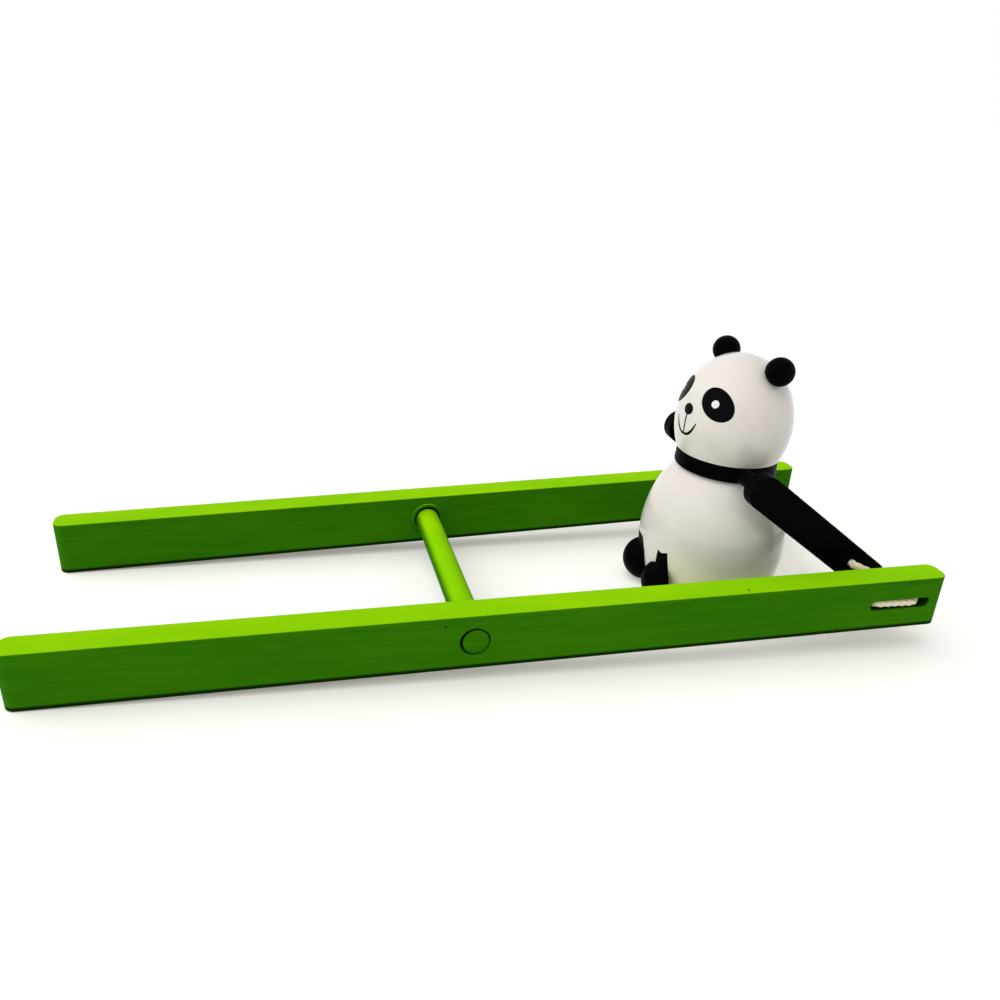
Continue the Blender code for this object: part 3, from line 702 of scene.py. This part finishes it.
def turned(name, profile, matrix, material, steps=TURNED_STEPS):
    """A solid turned about Z from (radius, height) points, from the axis and back to it."""
    shape = bmesh.new()
    points = [shape.verts.new((radius, 0.0, height)) for radius, height in profile]
    edges = [shape.edges.new(pair) for pair in zip(points, points[1:])]
    bmesh.ops.spin(shape, geom=points + edges, cent=(0.0, 0.0, 0.0), axis=(0.0, 0.0, 1.0),
                   angle=FULL_TURN, steps=steps, use_duplicate=False)
    bmesh.ops.remove_doubles(shape, verts=shape.verts, dist=0.000002)
    return baked(name, shape, matrix, material)


def plate(name, outline, depth, matrix, material):
    """A solid with an (x, z) outline, depth thick along Y and centred on it."""
    shape = bmesh.new()
    face = shape.faces.new([shape.verts.new((x, -0.5 * depth, z)) for x, z in outline])
    grown = bmesh.ops.extrude_face_region(shape, geom=[face])
    moved = [item for item in grown["geom"] if isinstance(item, bmesh.types.BMVert)]
    bmesh.ops.translate(shape, verts=moved, vec=(0.0, depth, 0.0))
    return baked(name, shape, matrix, material)


def arc(centre_x, centre_z, radius, start, end, steps, half_height=None):
    """Points on a circle, or on an oval with another half height, from start to end."""
    rise = radius if half_height is None else half_height
    angles = [start + (end - start) * i / steps for i in range(steps + 1)]
    return [(centre_x + radius * math.cos(angle), centre_z + rise * math.sin(angle))
            for angle in angles]


def stadium(start_x, end_x, radius, steps=24):
    """The outline of a strip with full-round ends."""
    return (arc(end_x, 0.0, radius, -QUARTER_TURN, QUARTER_TURN, steps)
            + arc(start_x, 0.0, radius, QUARTER_TURN, 3 * QUARTER_TURN, steps))


def ball_profile(radius, cut_height, steps=28):
    """A ball's side from the flat at cut_height below its centre up to its crown."""
    start = -math.asin(cut_height / radius)
    side = arc(0.0, 0.0, radius, start, QUARTER_TURN, steps)[:-1]
    return [(0.0, -cut_height)] + side + [(0.0, radius)]


def rod_profile(radius, length):
    return [(0.0, 0.0), (radius, 0.0), (radius, length), (0.0, length)]


def z_turned_to(direction):
    """A turn that brings Z to a direction."""
    return UP.rotation_difference(direction.normalized()).to_matrix().to_4x4()


def bore(thing, name, radius, centre, span, matrix, steps=HOLE_STEPS):
    """Cuts a round hole along Y, with centre its (x, z) and span its first and last y."""
    x, z = centre
    start, end = (Vector((x, y, z)) for y in span)
    reach = end - start
    place = matrix @ Matrix.Translation(start) @ z_turned_to(reach)
    cut(thing, turned(name, rod_profile(radius, reach.length), place, BLACK, steps))


def rail_outline():
    """A rail from above, as (x, y) points round its four corners."""
    string_x, handle_x = STRING_REACH - RAIL_CORNER, RAIL_CORNER - HANDLE_REACH
    y = 0.5 * RAIL_THICKNESS - RAIL_CORNER
    corners = ((string_x, y), (handle_x, y), (handle_x, -y), (string_x, -y))
    outline = []
    for i, (corner_x, corner_y) in enumerate(corners):
        start = i * QUARTER_TURN
        outline += arc(corner_x, corner_y, RAIL_CORNER, start, start + QUARTER_TURN, CORNER_STEPS)
    return outline


def add_rail(side):
    name = SIDE_NAMES[side]
    matrix = rail_matrix(side)
    half = 0.5 * RAIL_THICKNESS
    on_side = Matrix.Rotation(QUARTER_TURN, 4, "X")
    rail = plate(name + "_rail_wood", rail_outline(), RAIL_HEIGHT, matrix @ on_side, GREEN)
    eased(rail, RAIL_EASE)
    through = (-half - CUT_MARGIN, half + CUT_MARGIN)
    bore(rail, "pivot_cutter", PIVOT_HOLE_RADIUS, PIVOT_HOLE_SHIFT, through, matrix, RIM_STEPS)
    slot_depth = SLOT_DEPTH + CUT_MARGIN
    slot_y = side * (half - SLOT_DEPTH + 0.5 * slot_depth)
    slot_outline = stadium(FRONT_HOLE_X, REAR_HOLE_X, 0.5 * SLOT_WIDTH)
    slot_matrix = matrix @ Matrix.Translation((0.0, slot_y, 0.0))
    cut(rail, plate("slot_cutter", slot_outline, slot_depth, slot_matrix, GREEN))
    for x in (FRONT_HOLE_X, REAR_HOLE_X):
        bore(rail, "hole_cutter", CORD_HOLE_RADIUS, (x, 0.0), through, matrix)
    settled(rail, weighted=True)
    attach(rail, name + "_rail")
    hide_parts(name + "_rail")
    shift_x, shift_z = PIVOT_HOLE_SHIFT
    add_paint_rim(side, matrix @ Matrix.Translation((shift_x, -side * half, shift_z)))


def add_paint_rim(side, place):
    """The swelling of paint round the crossbar's hole on a rail's inner face."""
    name = SIDE_NAMES[side]
    ring = [(PIVOT_HOLE_RADIUS + 0.5 * PAINT_RIM_WIDTH * (1.0 - x), max(0.0, z) * PAINT_RIM_HEIGHT)
            for x, z in arc(0.0, 0.0, 1.0, 0.0, math.pi, CORNER_STEPS)]
    ring += [(ring[-1][0], -PAINT_RIM_SUNK), (ring[0][0], -PAINT_RIM_SUNK), ring[0]]
    inwards = Matrix.Rotation(side * QUARTER_TURN, 4, "X")
    rim = turned(name + "_paint_rim", ring, place @ inwards, GREEN, RIM_STEPS)
    settled(rim, sharp=50.0)
    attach(rim, name + "_rail")


def add_crossbar():
    low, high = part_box("crossbar")
    length = high.y - low.y
    ease = arc(CROSSBAR_RADIUS - CROSSBAR_EASE, CROSSBAR_EASE, CROSSBAR_EASE,
               -QUARTER_TURN, 0.0, EASE_STEPS)
    far_ease = [(radius, length - z) for radius, z in reversed(ease)]
    profile = [(0.0, 0.0)] + ease + far_ease + [(0.0, length)]
    along_y = Matrix.Rotation(-QUARTER_TURN, 4, "X")
    place = LIFTED @ Matrix.Translation((0.0, -0.5 * length, 0.0)) @ along_y
    bar = turned("crossbar_dowel", profile, place, BAR_GREEN, steps=96)
    settled(bar, sharp=40.0)
    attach(bar, "crossbar")
    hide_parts("crossbar")


def body_outline():
    """The body's side from its base to its top, as (radius, height) points."""
    base_angle = math.asin(-(BODY_WAIST_Z - BODY_BASE_ROUND) / BODY_LOWER_DROP)
    top_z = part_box("body")[1].z
    top_angle = math.asin((top_z - BODY_WAIST_Z) / BODY_UPPER_RISE)
    rim = BODY_RADIUS * math.cos(base_angle) - BODY_BASE_ROUND
    outline = [(0.0, 0.0), (rim, 0.0)]
    outline += arc(rim, BODY_BASE_ROUND, BODY_BASE_ROUND, *BASE_ROUND_ANGLES, steps=4)
    lower = arc(0.0, BODY_WAIST_Z, BODY_RADIUS, base_angle, 0.0, BODY_SIDE_STEPS, BODY_LOWER_DROP)
    upper = arc(0.0, BODY_WAIST_Z, BODY_RADIUS, 0.0, top_angle, 2 * BODY_SIDE_STEPS,
                BODY_UPPER_RISE)
    return outline + lower[:-1] + upper + [(0.0, top_z)]


def foot_matrix(side):
    """A foot's frame: on its ball's centre, with Z pointing forwards."""
    centre = (HEAD_CENTRE.x - FOOT_FORWARD, side * 0.5 * FOOT_SPACING,
              FOOT_RADIUS + FOOT_FLOOR_GAP)
    return Matrix.Translation(centre) @ Matrix.Rotation(-QUARTER_TURN, 4, "Y")


def add_body():
    place = Matrix.Translation((HEAD_CENTRE.x, 0.0, 0.0))
    body = turned("turned_body", body_outline(), place, WHITE)
    seat = ball_profile(FOOT_RADIUS + PAINTED_GAP, PAINTED_GAP - FOOT_CUT)
    for side in SIDES:
        cut(body, turned("seat_cutter", seat, foot_matrix(side), BLACK, BALL_STEPS))
    settled(body, sharp=35.0)
    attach(body, "panda")
    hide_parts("body")
    for side in SIDES:
        add_foot(side)


def add_foot(side):
    name = SIDE_NAMES[side]
    profile = ball_profile(FOOT_RADIUS, -FOOT_CUT)
    foot = turned(name + "_foot_ball", profile, foot_matrix(side), BLACK, BALL_STEPS)
    settled(foot, sharp=50.0)
    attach(foot, "panda")
    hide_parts(name + "_foot")


def add_ring():
    low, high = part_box("neck_ring")
    height = high.z - low.z
    bottom = arc(RING_BOTTOM_RADIUS - RING_ROUND, RING_ROUND, RING_ROUND,
                 -QUARTER_TURN, 0.0, EASE_STEPS)
    top = arc(RING_TOP_RADIUS - RING_ROUND, height - RING_ROUND, RING_ROUND,
              0.0, QUARTER_TURN, EASE_STEPS)
    ring = turned("neck_collar", [(0.0, 0.0)] + bottom + top + [(0.0, height)],
                  Matrix.Translation((HEAD_CENTRE.x, 0.0, low.z)), BLACK)
    settled(ring, sharp=50.0)
    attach(ring, "panda")
    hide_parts("neck_ring", "neck_dowel")


def add_head():
    bottom = math.asin((head_low.z - HEAD_CENTRE.z) / HEAD_HALF_HEIGHT)
    outline = arc(0.0, 0.0, HEAD_RADIUS, bottom, QUARTER_TURN, HEAD_SIDE_STEPS, HEAD_HALF_HEIGHT)
    profile = [(0.0, outline[0][1])] + outline[:-1] + [(0.0, HEAD_HALF_HEIGHT)]
    place = Matrix.Translation(HEAD_CENTRE) @ Matrix.Rotation(HEAD_TURN, 4, "Z")
    head = turned("turned_head", profile, place, WHITE)
    settled(head, sharp=35.0)
    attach(head, "panda")
    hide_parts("head")
    for side in SIDES:
        add_ear(side, place)


def add_ear(side, head_matrix):
    name = SIDE_NAMES[side]
    centre = Vector((EAR_PLACE.x, side * EAR_PLACE.y, EAR_PLACE.z))
    outwards = Vector((centre.x / HEAD_RADIUS ** 2, centre.y / HEAD_RADIUS ** 2,
                       centre.z / HEAD_HALF_HEIGHT ** 2))
    place = head_matrix @ Matrix.Translation(centre) @ z_turned_to(outwards)
    profile = ball_profile(EAR_RADIUS, EAR_CUT)
    ear = turned(name + "_ear_ball", profile, place, BLACK, steps=64)
    settled(ear, sharp=50.0)
    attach(ear, "panda")
    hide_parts(name + "_ear")


def add_arm(side, body):
    name = SIDE_NAMES[side]
    middle = side * 0.5 * (ARM_INNER_FACE + ARM_OUTER_FACE)
    thick = ARM_OUTER_FACE - ARM_INNER_FACE
    slope = Matrix.Rotation(math.atan2(-ARM_AXIS.z, ARM_AXIS.x), 4, "Y")
    place = Matrix.Translation((SHOULDER.x, middle, SHOULDER.z)) @ slope
    outline = stadium(0.0, ARM_REACH, ARM_RADIUS)
    arm = plate(name + "_arm_strip", outline, thick, place, BLACK)
    eased(arm, ARM_EASE)
    for x in (ARM_REACH - HAND_HOLE_SPACING, ARM_REACH):
        bore(arm, "hole_cutter", CORD_HOLE_RADIUS, (x, 0.0), (-thick, thick), place)
    blind = (-side * thick, side * (0.5 * thick - SHOULDER_COVER))
    bore(arm, "hole_cutter", SHOULDER_HOLE_RADIUS, (0.0, 0.0), blind, place)
    settled(arm, weighted=True)
    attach(arm, body)
    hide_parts(name + "_arm")
    add_shoulder_pin(side)


def add_shoulder_pin(side):
    """The peg that the arm turns on, which ends below the arm's painted outer face."""
    name = SIDE_NAMES[side]
    low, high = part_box(name + "_shoulder_peg")
    start = min(abs(low.y), abs(high.y))
    length = ARM_OUTER_FACE - SHOULDER_COVER - SEAT_GAP - start
    outwards = Matrix.Rotation(-side * QUARTER_TURN, 4, "X")
    place = Matrix.Translation((SHOULDER.x, side * start, SHOULDER.z)) @ outwards
    profile = rod_profile(SHOULDER_PEG_RADIUS, length)
    pin = turned(name + "_shoulder_pin", profile, place, BLACK, steps=48)
    settled(pin)
    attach(pin, "panda")
    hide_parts(name + "_shoulder_peg")


# String

def slot_path(side, start_x, end_x, finish_x=None):
    """The cord in a rail: out through one hole, along the slot and back through the other.

    With finish_x it ends there in the slot.
    """
    inner = -side * (0.5 * RAIL_THICKNESS - CORD_TUCK)
    slot_y = side * SLOT_CORD_Y
    run = math.copysign(1.0, end_x - start_x)
    points = [Vector((start_x, inner, 0.0))]
    for i in range(BEND_STEPS + 1):
        turn = QUARTER_TURN * i / BEND_STEPS
        points.append(Vector((start_x + run * CORD_BEND_RADIUS * (1.0 - math.cos(turn)),
                              slot_y - side * CORD_BEND_RADIUS * (1.0 - math.sin(turn)), 0.0)))
    if finish_x is None:
        points += [Vector((start_x + end_x - p.x, p.y, 0.0)) for p in reversed(points)]
    else:
        points.append(Vector((finish_x, slot_y, 0.0)))
    matrix = rail_matrix(side)
    rear_z, front_z = CORD_SLACK[REAR_HOLE_X], CORD_SLACK[FRONT_HOLE_X]
    for p in points:
        back = (p.x - FRONT_HOLE_X) / (REAR_HOLE_X - FRONT_HOLE_X)
        p.z = front_z + (rear_z - front_z) * back
        p.x -= CORD_PULL * back * (p.y - inner) / (slot_y - inner)
    return [matrix @ p for p in points]


def crossing_path(side, hand_hole, rail_hole_x):
    """A strand from inside a rail's hole to inside a hand's hole."""
    out = Vector((0.0, side, 0.0))
    start = Vector((hand_hole.x, side * ARM_OUTER_FACE, hand_hole.z))
    end = rail_matrix(side) @ Vector((rail_hole_x, -side * 0.5 * RAIL_THICKNESS, 0.0))
    reach = out * (CORD_BEND_REACH + CORD_BEND_SHARE * abs(end.y - start.y))
    points = [end + out * CORD_IN_RAIL]
    for i in range(STRAND_STEPS + 1):
        t = 1.0 - i / STRAND_STEPS
        points.append(start * (1 - t) ** 3 + (start + reach) * 3 * t * (1 - t) ** 2
                      + (end - reach) * 3 * t ** 2 * (1 - t) + end * t ** 3)
    points.append(start - out * CORD_IN_HAND)
    return rounded(points)


def trefoil(place):
    """A small pulled-in overhand knot round the middle of the matrix place."""
    points = []
    for i in range(KNOT_POINTS + 1):
        t = FULL_TURN * i / KNOT_POINTS
        x = (math.sin(t) + 2.0 * math.sin(2.0 * t)) / 3.0
        z = (math.cos(t) - 2.0 * math.cos(2.0 * t)) / 3.0
        y = -math.sin(3.0 * t)
        points.append(place @ Vector((x * KNOT_HALF_LENGTH, y * KNOT_HALF_DEPTH,
                                      z * KNOT_HALF_HEIGHT)))
    return points


def add_rail_cords():
    loop = plied_cord("left_cord_loop", slot_path(LEFT, FRONT_HOLE_X, REAR_HOLE_X))
    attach(loop, "left_rail")
    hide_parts("left_string_loop")
    middle = 0.5 * (FRONT_HOLE_X + REAR_HOLE_X)
    for label, start, end, stop in (("front", FRONT_HOLE_X, REAR_HOLE_X, middle - KNOT_ROOM),
                                    ("rear", REAR_HOLE_X, FRONT_HOLE_X, middle + KNOT_ROOM)):
        piece = plied_cord(f"right_cord_{label}", slot_path(RIGHT, start, end, stop))
        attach(piece, "right_rail")
        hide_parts(f"right_string_{label}_end")
    place = rail_matrix(RIGHT) @ Matrix.Translation((middle, SLOT_CORD_Y, 0.0))
    knot = plied_cord("cord_knot", trefoil(place), KNOT_CORD_RADIUS, 0.5 * KNOT_CORD_RADIUS,
                      KNOT_PITCH, KNOT_STEP)
    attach(knot, "right_rail")
    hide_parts("string_knot")


def add_crossings(side):
    """The two strands between a hand and its rail, which cross over each other."""
    name = SIDE_NAMES[side]
    for label, hole, rail_x in (("front", FRONT_HAND_HOLE, REAR_HOLE_X),
                                ("rear", REAR_HAND_HOLE, FRONT_HOLE_X)):
        piece = plied_cord(f"{name}_strand_{label}", crossing_path(side, hole, rail_x))
        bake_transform(piece)
        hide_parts(f"{name}_crossing_{label}")


def add_hand_cords():
    reach = ARM_OUTER_FACE - HAND_CORD_INSET
    for label, hole in (("front", FRONT_HAND_HOLE), ("rear", REAR_HAND_HOLE)):
        path = [Vector((hole.x, reach * (2 * i / HAND_CORD_STEPS - 1), hole.z))
                for i in range(HAND_CORD_STEPS + 1)]
        piece = plied_cord(f"hand_cord_{label}", path)
        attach(piece, "left_arm")
        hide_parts(f"hand_string_{label}")


# Face

def on_head(longitude, latitude, raised=0.0):
    """A point on the head, from degrees, raised square to its surface."""
    lon, lat = math.radians(longitude), math.radians(latitude)
    flat = Vector((-math.cos(lat) * math.cos(lon), -math.cos(lat) * math.sin(lon), 0.0))
    point = flat * HEAD_RADIUS + UP * (HEAD_HALF_HEIGHT * math.sin(lat))
    normal = flat / HEAD_RADIUS + UP * (math.sin(lat) / HEAD_HALF_HEIGHT)
    turn = Matrix.Rotation(HEAD_TURN, 3, "Z")
    return HEAD_CENTRE + turn @ (point + normal.normalized() * raised)


def degrees_around(longitude, latitude, sideways, upward):
    """Longitude and latitude of a place so many metres sideways and upward on the head."""
    lat = math.radians(latitude)
    per_lon = HEAD_RADIUS * math.cos(lat)
    per_lat = math.hypot(HEAD_RADIUS * math.sin(lat), HEAD_HALF_HEIGHT * math.cos(lat))
    return longitude + math.degrees(sideways / per_lon), latitude + math.degrees(upward / per_lat)


def paint_patch(name, surface, middle, outline, material, raised=PAINT_THICKNESS, rings=6):
    """A thin dab of paint, from its middle and outline as pairs that surface turns to points."""
    count = len(outline)
    vertices, faces = [], []
    for i in range(1, rings + 1):
        share = i / rings
        thinning = PATCH_THINNING * max(0.0, share - PATCH_RIM) / (1.0 - PATCH_RIM)
        for first, second in outline:
            vertices.append(surface(middle[0] + (first - middle[0]) * share,
                                    middle[1] + (second - middle[1]) * share,
                                    raised * (1.0 - thinning)))
    for first, second in outline:
        vertices.append(surface(first, second, -PAINT_SUNK))
    for ring in range(rings):
        for j in range(count):
            a, b = ring * count + j, ring * count + (j + 1) % count
            faces.append((a, b, b + count, a + count))
    top = len(vertices)
    vertices.append(surface(*middle, raised))
    vertices.append(surface(*middle, -PAINT_SUNK))
    for j in range(count):
        faces.append((top, (j + 1) % count, j))
        faces.append((top + 1, rings * count + j, rings * count + (j + 1) % count))
    piece = mesh_object(name, vertices, faces, material)
    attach(piece, "panda")


def head_patch(name, place, outline, material, raised=PAINT_THICKNESS, rings=6):
    """A dab on the head: outline gives metres sideways and upward from the place."""
    around = [degrees_around(*place, sideways, upward) for sideways, upward in outline]
    paint_patch(name, on_head, place, around, material, raised, rings)


def on_body(degrees, height, raised=0.0):
    """A point on the body, from degrees to the panda's left and metres above the floor."""
    semi = BODY_UPPER_RISE if height > BODY_WAIST_Z else BODY_LOWER_DROP
    rise = math.asin((height - BODY_WAIST_Z) / semi)
    normal = Vector((math.cos(rise) / BODY_RADIUS, math.sin(rise) / semi)).normalized()
    out = BODY_RADIUS * math.cos(rise) + normal.x * raised
    turn = math.radians(degrees)
    return Vector((HEAD_CENTRE.x - out * math.cos(turn), -out * math.sin(turn),
                   height + normal.y * raised))


def add_foot_paint():
    for side, corners in FOOT_PAINT.items():
        outline = []
        for start, end in zip(corners, corners[1:] + corners[:1]):
            outline += [tuple(a + (b - a) * i / FOOT_PAINT_STEPS for a, b in zip(start, end))
                        for i in range(FOOT_PAINT_STEPS)]
        middle = [sum(values) / len(corners) for values in zip(*corners)]
        name = SIDE_NAMES[side] + "_foot_paint"
        paint_patch(name, on_body, middle, outline, BLACK, rings=12)


def oval(long_radius, short_radius, slant=0.0, steps=40):
    """An oval as metres sideways and upward; slant turns its long axis."""
    points = []
    for i in range(steps):
        t = FULL_TURN * i / steps
        x, y = long_radius * math.cos(t), short_radius * math.sin(t)
        points.append((x * math.cos(slant) - y * math.sin(slant),
                       x * math.sin(slant) + y * math.cos(slant)))
    return points


def paint_stroke(name, places, half_width=STROKE_HALF_WIDTH):
    """A thin brush stroke on the head through longitude and latitude places."""
    points = [on_head(*place) for place in places]
    last = len(points) - 1
    vertices, faces = [], []
    for i, (point, place) in enumerate(zip(points, places)):
        run = (points[min(last, i + 1)] - points[max(0, i - 1)]).normalized()
        normal = (on_head(*place, raised=0.001) - point).normalized()
        across = run.cross(normal).normalized()
        half = half_width * min(1.0, STROKE_TAPER * min(i, last - i) / last + STROKE_TIP)
        for sideways, up in ((-half, -PAINT_SUNK), (-half, STROKE_EDGE_THICKNESS),
                             (0.0, PAINT_THICKNESS),
                             (half, STROKE_EDGE_THICKNESS), (half, -PAINT_SUNK)):
            vertices.append(point + across * sideways + normal * up)
    for i in range(last):
        for j in range(5):
            a, b = 5 * i + j, 5 * i + (j + 1) % 5
            faces.append((a, b, b + 5, a + 5))
    faces.append(tuple(reversed(range(5))))
    faces.append(tuple(5 * last + j for j in range(5)))
    piece = mesh_object(name, vertices, faces, FACE_BLACK)
    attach(piece, "panda")


def add_eye(side):
    name = SIDE_NAMES[side]
    place = (FACE_MIDDLE - side * EYE_PLACE[0], EYE_PLACE[1])
    outline = [(-side * x, y) for x, y in oval(EYE_LONG_RADIUS, EYE_SHORT_RADIUS, EYE_SLANT)]
    head_patch(f"{name}_eye_patch", place, outline, FACE_BLACK)
    longitude, latitude = EYE_DOT_PLACES[side]
    dot = (FACE_MIDDLE - side * longitude, latitude)
    head_patch(f"{name}_eye_dot", dot, oval(EYE_DOT_RADIUS, EYE_DOT_RADIUS, steps=28),
               EYE_WHITE, DOT_THICKNESS, rings=4)
    head_patch(f"{name}_eye_pit", dot, oval(EYE_PIT_RADIUS, EYE_PIT_RADIUS, steps=16),
               EYE_GREY, PIT_THICKNESS, rings=3)


def add_face():
    for side in SIDES:
        add_eye(side)
    nose = (FACE_MIDDLE, NOSE_LATITUDE)
    outline = oval(NOSE_HALF_WIDTH, NOSE_HALF_HEIGHT, steps=32)
    head_patch("nose", nose, outline, FACE_BLACK, NOSE_THICKNESS)
    drop = MOUTH_BOTTOM - NOSE_LATITUDE
    line = [(FACE_MIDDLE, NOSE_LATITUDE + drop * i / STROKE_STEPS)
            for i in range(STROKE_STEPS + 1)]
    paint_stroke("mouth_line", line)
    smile = [(FACE_MIDDLE + SMILE_HALF_WIDTH * t, MOUTH_BOTTOM + SMILE_RISE * abs(t) ** SMILE_CURVE)
             for t in (i / STROKE_STEPS - 1.0 for i in range(2 * STROKE_STEPS + 1))]
    paint_stroke("smile", smile, SMILE_HALF_STROKE)


# Floor, light and camera

def seen_directly(tree):
    """1 for rays that show the background to the camera, also by way of gloss or glass."""
    rays = tree.nodes.new("ShaderNodeLightPath")
    value = rays.outputs["Is Camera Ray"]
    for name in ("Is Glossy Ray", "Is Transmission Ray"):
        either = tree.nodes.new("ShaderNodeMath")
        either.operation = "MAXIMUM"
        tree.links.new(value, either.inputs[0])
        tree.links.new(rays.outputs[name], either.inputs[1])
        value = either.outputs["Value"]
    return value


def add_floor():
    """A pale floor that keeps the object's shadow and runs out to white where it is seen."""
    m = Nodes("floor_white", 0.7, Specular_IOR_Level=0.0, Emission_Color=FLOOR_WHITENING_COLOUR)
    seen = seen_directly(m.tree)
    glow = m.math("MULTIPLY", seen, FLOOR_WHITENING)
    m.link(glow, m.shader.inputs["Emission Strength"])
    m.colour(m.mix(seen, FLOOR_COLOUR, FLOOR_SEEN_COLOUR))
    mesh = bpy.data.meshes.new("floor")
    mesh.from_pydata([(FLOOR_REACH * x, FLOOR_REACH * y, 0.0)
                      for x, y in ((-1, -1), (1, -1), (1, 1), (-1, 1))], [], [(0, 1, 2, 3)])
    mesh.materials.append(m.material)
    linked("floor", mesh)


def add_world():
    """Soft light from all round, and plain white behind."""
    world = bpy.data.worlds.new("studio")
    world.use_nodes = True
    bpy.context.scene.world = world
    tree = world.node_tree
    soft = tree.nodes["Background"]
    seen = tree.nodes.new("ShaderNodeBackground")
    for background, strength in ((soft, ROOM_LIGHT), (seen, 1.0)):
        background.inputs["Color"].default_value = (1.0, 1.0, 1.0, 1.0)
        background.inputs["Strength"].default_value = strength
    mixed = tree.nodes.new("ShaderNodeMixShader")
    tree.links.new(seen_directly(tree), mixed.inputs["Fac"])
    tree.links.new(soft.outputs["Background"], mixed.inputs[1])
    tree.links.new(seen.outputs["Background"], mixed.inputs[2])
    tree.links.new(mixed.outputs["Shader"], tree.nodes["World Output"].inputs["Surface"])


def add_overhead_light():
    light = bpy.data.lights.new("overhead_light", "SUN")
    light.energy = OVERHEAD_STRENGTH
    light.angle = OVERHEAD_WIDTH
    lamp = linked("overhead_light", light)
    lamp.rotation_euler = TOWARDS_LIGHT.to_track_quat("Z", "Y").to_euler()
    lamp.visible_glossy = False


def add_camera():
    up = CAMERA_RIGHT.cross(CAMERA_FORWARD)
    turn = Matrix((CAMERA_RIGHT, up, -CAMERA_FORWARD)).transposed().to_4x4()
    data = bpy.data.cameras.new("camera")
    data.sensor_width = CAMERA_SENSOR
    data.lens = CAMERA_LENS
    data.clip_start = CAMERA_NEAR
    camera = linked("camera", data)
    camera.matrix_world = LIFTED @ Matrix.Translation(CAMERA_PLACE) @ turn
    bpy.context.scene.camera = camera


for side in SIDES:
    add_rail(side)
add_crossbar()
add_body()
add_ring()
add_head()
add_arm(LEFT, "left_arm")
add_arm(RIGHT, "right_arm")
add_rail_cords()
for side in SIDES:
    add_crossings(side)
add_hand_cords()
add_face()
add_foot_paint()
add_floor()
add_world()
add_overhead_light()
add_camera()
bpy.context.scene.view_settings.view_transform = "Standard"
